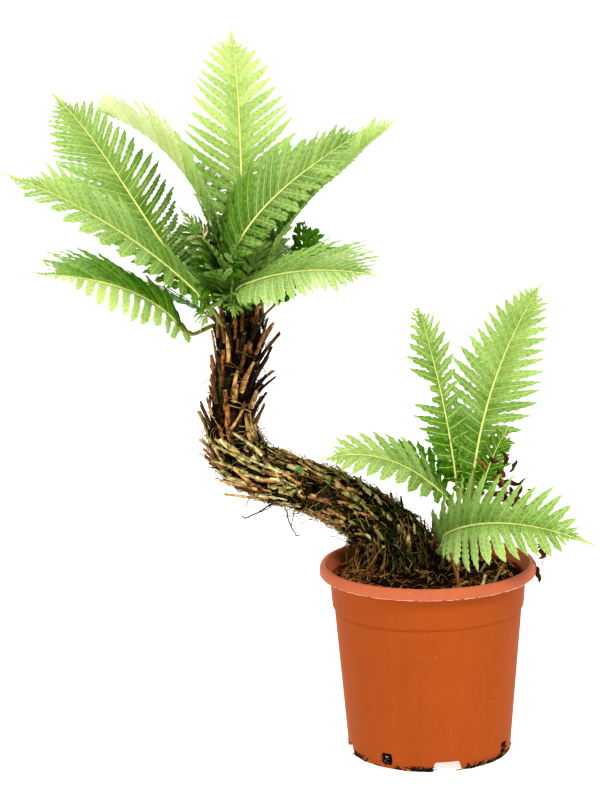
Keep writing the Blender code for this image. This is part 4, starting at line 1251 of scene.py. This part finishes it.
# What differs from the frond's look on one side of the blade
SIDE_LOOKS = {
    ("crown_frond_high_left", 1): dict(
        fuse=(0.0, 0.34), fill=(0.62, 0.84), wave=(0.36, 0.16), ripple=2.4, droop=0.06,
        tones=(3.4, 5.6, 7.6)),
    ("crown_frond_arching_left", 1): dict(
        fuse=(0.0, 0.62), fill=(0.70, 0.94), wave=(0.34, 0.16), ripple=2.6, tones=(3.4, 6.4, 10.2)),
    ("pup_frond_over_rim", 1): dict(
        fuse=(0.24, 0.22), fill=(0.86, 0.82), body=0.62, point=1.6, tones=(6.0, 6.8, 7.4),
        under=1.9),
    ("crown_frond_middle_left", -1): dict(
        pitch=(0.0170, 0.0185, 0.0155), fuse=(0.02, 0.26), fill=(0.62, 0.80), body=0.72, point=2.2,
        wave=(0.16, 0.10), droop=0.10),
    ("crown_frond_low_left", 1): dict(
        pitch=(0.0120, 0.0125, 0.0105), fuse=(0.62, 0.52), fill=(0.92, 0.90),
        tones=(3.0, 4.4, 7.4)),
    ("crown_frond_low_left", -1): dict(
        pitch=(0.0175, 0.0168, 0.0084), fuse=(0.03, 0.12), fill=(0.74, 0.72), body=0.72, point=2.0,
        droop=0.18, tones=(6.8, 9.4, 11.0), under=0.6),
    ("crown_frond_front_right", 1): dict(
        pitch=(0.0132, 0.0142, 0.0125), fuse=(0.0, 0.60), fill=(0.68, 0.92), wave=(0.34, 0.08),
        ripple=2.8, droop=0.12),
    ("crown_frond_low_right", 1): dict(
        pitch=(0.0125, 0.0130, 0.0130), fuse=(0.22, 0.42), fill=(0.86, 0.90), droop=0.10,
        tones=(6.4, 7.5, 7.2)),
}
# Damage: side, from and to which share of the blade leaflets are stunted
STUNTED = {"pup_frond_tall_left": (-1, 0.40, 0.53)}
# Blades that narrow early or stay wide: share from which, share where done, and what is left
NARROWED = {
    ("crown_frond_low_left", -1): (0.48, 0.74, 0.44),
    ("crown_frond_low_left", 1): (0.62, 0.80, 0.28),
}
# The power that sets how full the blade's tip is
USUAL_FULLNESS = 2.2
FULLNESS = {"pup_frond_tall_left": 4.0}
WAVE_LENGTH = 0.0088
# The veins' spacing, how much darker the lowest leaflets are, and what a stunted one keeps
VEIN_SPACING = 0.0055
BASAL_DARKNESS = 0.8
STUNTED_LENGTH = 0.38
# The rib's radius at the blade's foot and what it loses up to the tip
RIB_RADIUS = 0.0020
RIB_TAPER = 0.0016
NARROW_RIB = 0.64
# The CAD node and the axis of the stems that fronds grow from, and how deep stalks go into them
STEMS = {"crown": ("trunk_neck", CROWN_AXIS), "pup": ("pup_stem", PUP_FOOT)}
STALK_DEPTH = 0.006


def frond_slope(frond, along):
    """The slope in degrees at a distance along the rib."""
    start_length, start_slope = frond.start
    low, middle, high = frond.climb
    share = np.maximum(along - start_length, 0) / frond.length
    arch = (low + (4 * middle - 3 * low - high) * share
            + (2 * low + 2 * high - 4 * middle) * share ** 2)
    blend = eased(-0.5, 0.5, (along - start_length) / START_BLEND)
    return start_slope + (arch - start_slope) * blend


class Path:
    """A frond's rib with its axes, by the distance along it."""

    def __init__(self, frond, foot, steps=400):
        self.total = frond.start[0] + frond.length
        self.steps = steps
        along = (np.arange(steps + 1) + 0.5) * self.total / steps
        heading = np.radians(frond.heading + frond.sweep * along / self.total)
        slope = np.radians(frond_slope(frond, along))
        level = np.zeros_like(heading)
        flat = np.stack([np.cos(heading), np.sin(heading), level], 1)
        self.tangents = flat * np.cos(slope)[:, None] + UP * np.sin(slope)[:, None]
        right = np.stack([np.sin(heading), -np.cos(heading), level], 1)
        upper = np.cross(right, self.tangents)
        first, last = frond.roll
        roll = np.radians(first + (last - first) * along / self.total)[:, None]
        self.rights = right * np.cos(roll) - upper * np.sin(roll)
        self.uppers = upper * np.cos(roll) + right * np.sin(roll)
        steps_taken = np.cumsum(self.tangents, axis=0) * self.total / steps
        self.places = np.array(foot) + np.concatenate([[np.zeros(3)], steps_taken[:-1]])

    def at(self, distance):
        """The place, tangent, right and upper axis at a distance along the rib."""
        position = min(max(distance / self.total, 0), 1) * self.steps
        index = int(min(position, self.steps - 1))
        part = position - index
        return tuple(values[index] * (1 - part) + values[index + 1] * part
                     for values in (self.places, self.tangents, self.rights, self.uppers))


def blade_shape(frond, share):
    """Length and angle of the leaflet at a share of the blade, from its foot to its tip."""
    rise = min(share / SWELL_SHARE, 1)
    swell = ROOT_SHARE + (1 - ROOT_SHARE) * rise * rise * (3 - 2 * rise)
    fullness = FULLNESS.get(frond.name, USUAL_FULLNESS)
    length = frond.width * swell * max(1 - share ** fullness, 0) ** 0.9
    angle = math.radians((ROOT_ANGLE - ANGLE_LOSS * share ** 0.7) * frond.spread)
    return max(length, SHORTEST), angle


def tip_of(frond):
    """The length of the frond's drawn-out tip and how fast the leaflets' reach grows below it."""
    return TIPS.get(frond.name, (min(USUAL_TIP[0], TIP_SHARE * frond.length), USUAL_TIP[1]))


def rib_radius(frond, share):
    widest = min(max(frond.width / WIDE_FROND, NARROW_RIB), 1)
    return (RIB_RADIUS - RIB_TAPER * max(share, 0) ** 0.8) * widest


def blade_row(frond, look, total, basal):
    """The leaflets of one side: distance along the rib, share of the blade, length and angle."""
    bare = total * frond.bare
    blade = total - bare
    shares = np.linspace(0, 1, 200)
    shapes = [blade_shape(frond, share) for share in shares]
    reach = np.array([bare + share * blade + length * math.cos(angle)
                      for share, (length, angle) in zip(shares, shapes)])
    height = np.array([length * math.sin(angle) for length, angle in shapes])
    row = []
    distance = basal if basal else bare
    shrink = BASAL_SHRINK.get(frond.name, USUAL_SHRINK)
    while distance < bare + LAST_SHARE * blade:
        share = (distance - bare) / blade
        length, angle = blade_shape(frond, max(share, 0))
        if look.tilt < 1:
            angle *= look.tilt
            seen = np.arctan2(height, reach - distance)
            below = int(np.argmax(seen < angle))
            length = math.hypot(reach[below] - distance, height[below]) if below else length
        tip, growth = tip_of(frond)
        room = growth * (total - tip - distance) / (math.sin(angle) + growth * math.cos(angle))
        if room < LEAST_ROOM:
            break
        length = min(length, room)
        if share < 0:
            length *= max(1 + shrink * share * blade / max(bare - basal, 1e-6), 0.2)
        if frond.name == "crown_frond_small":
            length *= SMALL_FROND_GROWTH
        row.append((distance, share, length, angle))
        pitch = np.interp(share, PITCH_SHARES, look.pitch)
        distance += min(pitch, TIP_PITCH + TIP_PITCH_GROWTH * length) if share > 0.5 else pitch
    return row


def smoothed(draw, count, spread):
    """Random values that change little from one to the next."""
    values = np.array([draw.gauss(0, spread) for number in range(count + 2)])
    return (values[:-2] + 2 * values[1:-1] + values[2:]) / 2.45


def between(ends, share):
    return ends[0] + (ends[1] - ends[0]) * share


def spread_out(draw, count, low, high):
    """A random value for each leaflet, shaped to go with its points."""
    return np.array([draw.uniform(low, high) for number in range(count)])[:, None, None]


def leaflets(heap, path, row, side, frond, look, draw, offset):
    """All leaflets of one side. Each is a wavering blade that is joined to its neighbours."""
    count = len(row)
    distances, shares, lengths, angles = np.array(row).T
    lengths = lengths * (1 + smoothed(draw, count, UNEVEN.get(frond.name, USUAL_UNEVEN)))
    angles = angles + np.radians(smoothed(draw, count, ANGLE_SPREAD))
    first, last, cut, roundness = SHORT_SIDES.get((frond.name, side), (0, 1, 0, 0))
    short = 1 - eased(first, last, shares)
    lengths = lengths * (1 - cut * short)
    short = short * roundness
    if (frond.name, side) in NARROWED:
        first, last, left = NARROWED[frond.name, side]
        lengths = lengths * (1 - (1 - left) * eased(first, last, shares))
    if STUNTED.get(frond.name, (0,))[0] == side:
        first, last = STUNTED[frond.name][1:]
        lengths = np.where((shares > first) & (shares < last), lengths * STUNTED_LENGTH, lengths)
    axes = [path.at(distance + offset) for distance in distances]
    places, tangents, rights, uppers = (np.array(values) for values in zip(*axes))
    low = np.clip(-shares * 4, 0, 1)
    lift = frond.lift + between(LIFTS.get((frond.name, side), (0, 0)), eased(0.10, 0.50, shares))
    lift = lift + smoothed(draw, count, LIFT_SPREAD) - BASAL_FALL * low - SHORT_FALL * short
    lifts = np.radians(lift)[:, None]
    outward = rights * side * np.cos(lifts) + uppers * np.sin(lifts)
    normal = (uppers * np.cos(lifts) - rights * side * np.sin(lifts))[:, None]
    along = tangents * np.cos(angles)[:, None] + outward * np.sin(angles)[:, None]
    rows = int(ROWS_LEAST + frond.width / ROW_LENGTH)
    t = np.linspace(0, 1, rows)[None, :, None]

    # The leaflets' middles, and how far it is to the next one on either side
    long = lengths[:, None, None]
    droop = look.droop + 0.25 * low[:, None, None] + spread_out(draw, count, -0.03, 0.05)
    swing = smoothed(draw, count, 0.05)[:, None, None]
    radii = np.array([rib_radius(frond, share) for share in shares])[:, None]
    centre = (places[:, None] + (outward * radii * 0.5)[:, None]
              + along[:, None] * long * t
              + tangents[:, None] * long * ((TIP_SWEEP + swing) * t ** 2)
              + normal * long * (0.10 * t * (1 - t) - droop * t ** 2))
    steps = centre[1:] - centre[:-1]
    gaps = {1: np.concatenate([steps, steps[-1:]]), -1: np.concatenate([steps[:1], steps])}
    blend = eased(0.08, 0.45, t)
    halves = {}
    for way, gap in gaps.items():
        straight = gap - along[:, None] * np.sum(gap * along[:, None], axis=2, keepdims=True)
        halves[way] = way * 0.5 * (gap * (1 - blend) + straight * blend)

    # How much of that distance each fills from foot to tip
    outer = np.clip(shares, 0, 1)[:, None, None]
    short = short[:, None, None]
    fuse = between(look.fuse, outer) * (1 - short)
    free = eased(0, 1, (t - fuse) / 0.2)
    sharp = eased(0.72, 0.92, shares)[:, None, None]
    body = between((look.body, 0.80), short) * (1 - 0.5 * sharp)
    point = between((between((look.point, 2.6), short), 1.1), sharp)
    pointed = 1 - np.clip((t - body) / (1 - body), 0, 1) ** point
    profile = between((1.04, between(look.fill, outer)), free) * pointed

    # Lobes, ripples and twist of the margins
    waves = long / WAVE_LENGTH
    waver = between(look.wave, outer) * spread_out(draw, count, 0.6, 1.3) + 0.10 * short
    phases = {way: spread_out(draw, count, 0, 1) for way in (1, -1)}
    twist = (0.10 + smoothed(draw, count, 0.13))[:, None, None] * free
    pattern = spread_out(draw, count, 0, 1)
    columns, under, uvs = [], [], []
    for number, value in enumerate(COLUMNS):
        way = 1 if value > 0 else -1
        midrib = number in (2, 3)
        turn = FULL_TURN * (waves * t + phases[way])
        lobes = 0.7 * np.sin(turn) + 0.3 * np.sin(1.7 * turn + 9 * phases[-way])
        reach = profile * (1 + waver * free * (1 - 0.3 * t) * lobes)
        wide = np.linalg.norm(halves[way], axis=2, keepdims=True) * reach
        size = np.full_like(wide, abs(value))
        if midrib:
            size = np.minimum(MIDRIB_HALF * (1 - 0.5 * t) / np.maximum(wide, 1e-6), 0.5)
        arch = (0.26 * wide * np.sin(math.pi * np.minimum(size, 1)) * (1 - 0.4 * free)
                * eased(0.02, 0.14, t) + way * twist * wide * size
                + look.ripple * 0.005 * waver * size ** 2 * free * (1 - 0.3 * t)
                * np.sin(turn + 1.6))
        top = centre + halves[way] * reach * size + normal * arch
        keel = 0.0004 * (1 - t) if midrib else 0
        columns.append(top)
        under.append(top - normal * (LEAF_THICK * (1 - size ** 2) + keel))
        run = np.broadcast_to(long * t / VEIN_SPACING, wide.shape) + pattern
        uvs.append(np.concatenate([run, way * size], 2))
    columns, under, uvs = (np.stack(values, 2) for values in (columns, under, uvs))
    faces = grid_faces(rows, len(COLUMNS), flip=side < 0)
    middle = np.tile(np.arange(5) == 2, rows - 1)
    for number, share in enumerate(shares):
        green = np.interp(share, (0, 0.5, 1), look.tones) - (BASAL_DARKNESS if share < 0 else 0)
        green += draw.uniform(-1, 1) * (TONE_SPREAD if frond.name in LOOKS else HEART_SPREAD)
        layers = (columns, faces, green), (under, faces[:, ::-1], green + look.under)
        for points, quads, value in layers:
            slots = np.where(middle, len(LEAVES), leaf_number(look, value))
            heap.add(points[number], quads, slots, uvs[number])


def leaf_number(look, value):
    """The number of the green nearest to a value on the ramp."""
    if look.tones[0] == DEAD_TONE:
        return DEAD_TONE
    return int(min(max(round(value), 0), len(LEAF_RAMP) - 1))


def frond_foot(frond):
    """The foot of the frond's stalk, found on its CAD node, and the inner point it grows from."""
    if frond.stem == "soil":
        surface = OVER_RIM_FOOT
        inner = surface - Vector((0, 0, STALK_DEPTH))
    else:
        node, axis = STEMS[frond.stem]
        outward = Vector(polar(1, math.radians(frond.foot_heading)))
        outside = Vector((axis.x, axis.y, frond.foot_height)) + outward * RIM_RADIUS
        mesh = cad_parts[node].data
        tree = BVHTree.FromPolygons([corner.co for corner in mesh.vertices],
                                    [face.vertices for face in mesh.polygons])
        surface = tree.ray_cast(outside, -outward)[0]
        inner = surface - outward * STALK_DEPTH - Vector((0, 0, STALK_DEPTH))
    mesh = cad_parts[frond.name].data
    points = np.empty(len(mesh.vertices) * 3)
    mesh.vertices.foreach_get("co", points)
    points = np.unique(points.reshape(-1, 3).round(5), axis=0)
    nearest = points[np.argsort(np.linalg.norm(points - np.array(surface), axis=1))[:5]]
    return nearest.mean(axis=0), np.array(inner)


def heart_foot(frond):
    """The foot of a small frond on the flat top of the crown."""
    foot = np.array(CROWN_AXIS) + polar(0.010, math.radians(frond.heading), frond.foot_height)
    return foot, foot - UP * STALK_DEPTH


def terminal(heap, path, frond, look):
    """The drawn-out tip of a frond."""
    first = path.total - TERMINAL_SHARE * tip_of(frond)[0] - TERMINAL_START
    count = 17
    across = (-1, -0.5, 0, 0.5, 1)
    axes = [path.at(first + (path.total - first) * step / (count - 1)) for step in range(count)]
    t = np.linspace(0, 1, count)
    half = TERMINAL_HALF * min(frond.width / WIDE_FROND, 1) * (1 - t) ** 0.85
    green = look.tones[1]
    for value, drop, flip in ((green, 0.0, True), (green + look.under, LEAF_THICK, False)):
        points = [[place + right * width * side
                   + upper * (0.12 * width * abs(side) - drop * (1 - abs(side))) for side in across]
                  for (place, tangent, right, upper), width in zip(axes, half)]
        uvs = [[(9 + 0.4 * step, side) for side in across] for step in range(count)]
        heap.add(points, grid_faces(count, len(across), flip=flip), leaf_number(look, value), uvs)


def build_frond(frond, seed, basal, replaced=True):
    look = LOOKS[frond.name] if replaced else HEART_LOOKS[frond.leaf]
    draw = random.Random(seed)
    foot, inner = frond_foot(frond) if replaced else heart_foot(frond)
    path = Path(frond, foot)
    bare = path.total * frond.bare
    midrib, *stalks = STALKS[look.midrib]
    heap = Heap()
    for side, offset in ((1, 0.0), (-1, 0.5)):
        sided = look._replace(**SIDE_LOOKS.get((frond.name, side), {}))
        row = blade_row(frond, sided, path.total, min(basal, bare) if look.midrib != "dead" else 0)
        leaflets(heap, path, row, side, frond, sided, draw, offset * sided.pitch[1])
    terminal(heap, path, frond, look)
    heap.build(frond.name + "_leaflets", LEAVES + [midrib],
               [frond.name] if replaced else ())
    heap = Heap()
    distances = np.linspace(0, path.total, 60)
    axes = (path.at(distance) for distance in distances)
    route, tangents, rights, uppers = map(np.array, zip(*axes))
    radii = np.array([rib_radius(frond, (distance - bare) / (path.total - bare))
                      for distance in distances])
    radii = radii * (1 + 0.35 * np.clip(1 - distances / 0.03, 0, 1))
    edge = int(np.searchsorted(distances, bare * 0.92))
    start = np.concatenate([[inner], route[:edge + 1]])
    thick = np.concatenate([[radii[0] * 1.3], radii[:edge + 1]])
    tube(heap, start, thick, 10, 0, 0.85, rights[0], draw=draw)
    lift = RIB_LIFT * np.clip((distances - distances[edge]) / 0.01, 0, 1) * radii
    raised = (route + uppers * lift[:, None])[edge:]
    tube(heap, raised, radii[edge:], 10, 1, 0.8, path.at(bare)[2], draw=draw)
    heap.build(frond.name + "_rib", stalks)


# Small fronds that fill the crown between the stalks of the large ones, in dark greens that are
# painted shade
HEART_FRONDS = tuple(
    Frond("heart_frond_%d" % number, "crown", 0, 0.497, (0.008, 84), heading, sweep, climb, length,
          0.06, width, (roll, roll), 6, 1.0, leaf)
    for number, (heading, sweep, climb, length, width, roll, leaf) in enumerate((
        (225, 14, (72, 62, 30), 0.096, 0.042, -30, "mature"),
        (250, -20, (60, 40, 0), 0.076, 0.036, 10, "shaded"),
        (292, 18, (60, 42, 5), 0.070, 0.034, 30, "shaded"),
        (195, -10, (74, 66, 48), 0.122, 0.044, -25, "shaded"),
        (265, 12, (84, 80, 58), 0.084, 0.034, 40, "shaded"),
        (335, 10, (62, 46, 20), 0.078, 0.036, 20, "shaded"),
        (100, 0, (74, 64, 40), 0.098, 0.042, 0, "shaded"),
        (160, 8, (80, 74, 60), 0.128, 0.042, 20, "shaded"),
        (45, 0, (70, 56, 30), 0.092, 0.040, 0, "shaded"),
        (210, 10, (48, 22, -18), 0.082, 0.034, -40, "shaded"),
        (318, -12, (78, 70, 52), 0.086, 0.034, -30, "shaded"),
        (180, -14, (78, 62, 20), 0.110, 0.040, -50, "shaded"),
        (243, -8, (34, -16, -62), 0.080, 0.034, 24, "mature"),
        (262, 6, (40, -6, -50), 0.058, 0.030, -10, "mature"),
    )))
# Where leaflets begin along the rib of most large fronds and of the others
BASAL = 0.028
LOW_BASAL = 0.010

for number, frond in enumerate(FRONDS):
    build_frond(frond, 100 + number, LOW_BASAL if frond.name == "crown_frond_low_right" else BASAL)
for number, frond in enumerate(HEART_FRONDS):
    build_frond(frond, 200 + number, LOW_BASAL, replaced=False)


# Crown scales
# Dry curled leaflets: foot, direction, length, width and material
DRY_BITS = (
    ((-0.238, -0.020, 0.582), (-1.0, -0.2, 0.4), 0.022, 0.009, 4),
    ((-0.236, -0.022, 0.580), (-0.6, -0.3, 0.8), 0.016, 0.008, 4),
    ((-0.232, -0.024, 0.576), (0.5, -0.2, -0.3), 0.014, 0.007, 3),
    ((-0.242, -0.016, 0.584), (0.9, -0.1, 0.3), 0.016, 0.006, 2),
    ((0.086, 0.010, 0.318), (0.4, -0.2, 0.9), 0.022, 0.007, 3),
    ((0.092, 0.008, 0.310), (0.9, -0.2, 0.5), 0.020, 0.006, 3),
    ((0.090, 0.006, 0.300), (0.6, -0.1, -0.6), 0.026, 0.009, 3),
    ((0.104, 0.008, 0.296), (0.8, -0.2, -0.7), 0.024, 0.009, 3),
    ((0.080, 0.000, 0.296), (0.1, -0.2, 1.0), 0.030, 0.005, 2),
    ((0.074, 0.004, 0.300), (-0.4, -0.3, 0.8), 0.018, 0.006, 2),
    ((0.112, 0.010, 0.290), (0.9, 0.0, 0.1), 0.018, 0.006, 3),
    ((-0.190, -0.022, 0.470), (-0.5, -0.6, -0.4), 0.018, 0.006, 2),
    ((0.072, 0.006, 0.322), (0.7, -0.2, 0.5), 0.022, 0.010, 3),
    ((0.078, 0.004, 0.310), (0.8, -0.3, 0.2), 0.026, 0.012, 1),
    ((0.076, 0.002, 0.300), (0.7, -0.2, -0.4), 0.026, 0.012, 3),
    ((0.086, 0.006, 0.300), (0.9, -0.1, -0.2), 0.022, 0.011, 3),
    ((0.092, 0.004, 0.294), (0.5, -0.2, -0.9), 0.026, 0.012, 1),
    ((0.084, 0.006, 0.288), (0.3, -0.1, -1.0), 0.026, 0.012, 3),
    ((0.070, 0.002, 0.286), (0.6, -0.3, 0.5), 0.024, 0.011, 1),
    ((0.096, 0.006, 0.284), (0.6, 0.0, -0.7), 0.018, 0.010, 3),
    ((0.1205, -0.015, 0.208), (0.2, -0.1, -1.0), 0.021, 0.008, 3),
    ((0.117, -0.012, 0.214), (0.4, -0.2, -0.8), 0.014, 0.006, 1),
    ((0.066, 0.004, 0.314), (-0.3, -0.3, 0.8), 0.018, 0.006, 2),
    ((0.080, 0.000, 0.294), (0.9, -0.2, 0.3), 0.020, 0.010, 2),
)
DRY_MATERIALS = [STICKS[BLACK], STICKS[UMBER], STICKS[REDDISH], LEAVES[DEAD_TONE], STICKS[STRAW]]


def build_scales():
    """Dark scales and dry bits among the feet of the crown's fronds and on the pup."""
    draw = random.Random(61)
    heap = Heap()
    for limb, count, span in ((NECK, 320, (0.70, 0.99)), (PUP, 90, (0.55, 0.98))):
        for number in range(count):
            place, outward, tangent = round_spot(draw, limb, *span)
            path = wander(draw, place - outward * 0.001, outward * draw.uniform(0.2, 0.9) + UP,
                          draw.uniform(0.005, 0.013), 4, 0.25)
            thin = np.linspace(0.0007, 0.00015, 5)
            tube(heap, path, thin, 4, pick(draw, (5, 3, 2)), 0.4, draw=draw)
    for place, direction, length, width, slot in DRY_BITS:
        path = wander(draw, place, direction, length, 8, 0.28)
        swell = np.sin(np.linspace(0.25, math.pi, 9))
        tube(heap, path, width / 2 * swell + 0.0002, 8, slot, 0.22, rough=0.25, draw=draw)
    heap.build("crown_scales", DRY_MATERIALS)


build_scales()


# Stage
FLOOR_RADIUS = 6.5
FLOOR_CURVE = 1.6
FLOOR_TOP = 3.0
FLOOR_SIDES = 96
FLOOR_GREY = (0.60, 0.60, 0.60)
FLOOR_GLOW = 0.66
SKY_STRENGTH = 0.31
LIGHTS_AIM = Vector((-0.1, 0, 0.4))
# Soft lights: name, place, size, power and colour
LIGHTS = (
    ("key", (0.9, -2.1, 2.5), 1.0, 51, (1.0, 0.985, 0.96)),
    ("fill", (-1.8, -1.6, 1.4), 1.4, 14, (0.98, 0.99, 1.0)),
    ("back", (-0.4, 1.5, 2.2), 1.4, 26, (1.0, 1.0, 1.0)),
)


def build_stage():
    """A wide white floor that curves up all round, a white sky and three soft lights."""
    profile = [(0.0, 0.0), (2.0, 0.0), (FLOOR_RADIUS, 0.0)]
    profile += [(FLOOR_RADIUS + FLOOR_CURVE * math.sin(angle), FLOOR_CURVE * (1 - math.cos(angle)))
                for angle in np.linspace(0.1, math.pi / 2, 12)]
    profile.append((FLOOR_RADIUS + FLOOR_CURVE, FLOOR_TOP))
    points = [polar(radius, FULL_TURN * side / FLOOR_SIDES, height)
              for radius, height in profile for side in range(FLOOR_SIDES)]
    mesh = bpy.data.meshes.new("floor")
    mesh.from_pydata(points, [], grid_faces(len(profile), FLOOR_SIDES, closed=True).tolist())
    mesh.shade_smooth()
    shade = Shade("floor", 0.8, 0.1)
    shade.colour(FLOOR_GREY)
    shade.sockets["Emission Color"].default_value = (1, 1, 1, 1)
    shade.sockets["Emission Strength"].default_value = FLOOR_GLOW
    mesh.materials.append(shade.material)
    floor = linked("floor", mesh)
    world = bpy.data.worlds.new("studio")
    world.use_nodes = True
    sky = world.node_tree.nodes["Background"].inputs
    sky["Color"].default_value = (1.0, 1.0, 1.0, 1)
    sky["Strength"].default_value = SKY_STRENGTH
    bpy.context.scene.world = world
    for name, place, size, power, colour in LIGHTS:
        data = bpy.data.lights.new(name, "AREA")
        data.shape = "SQUARE"
        data.size = size
        data.energy = power
        data.color = colour
        light = linked(name, data)
        light.location = place
        light.rotation_euler = (LIGHTS_AIM - Vector(place)).to_track_quat("-Z", "Y").to_euler()


build_stage()
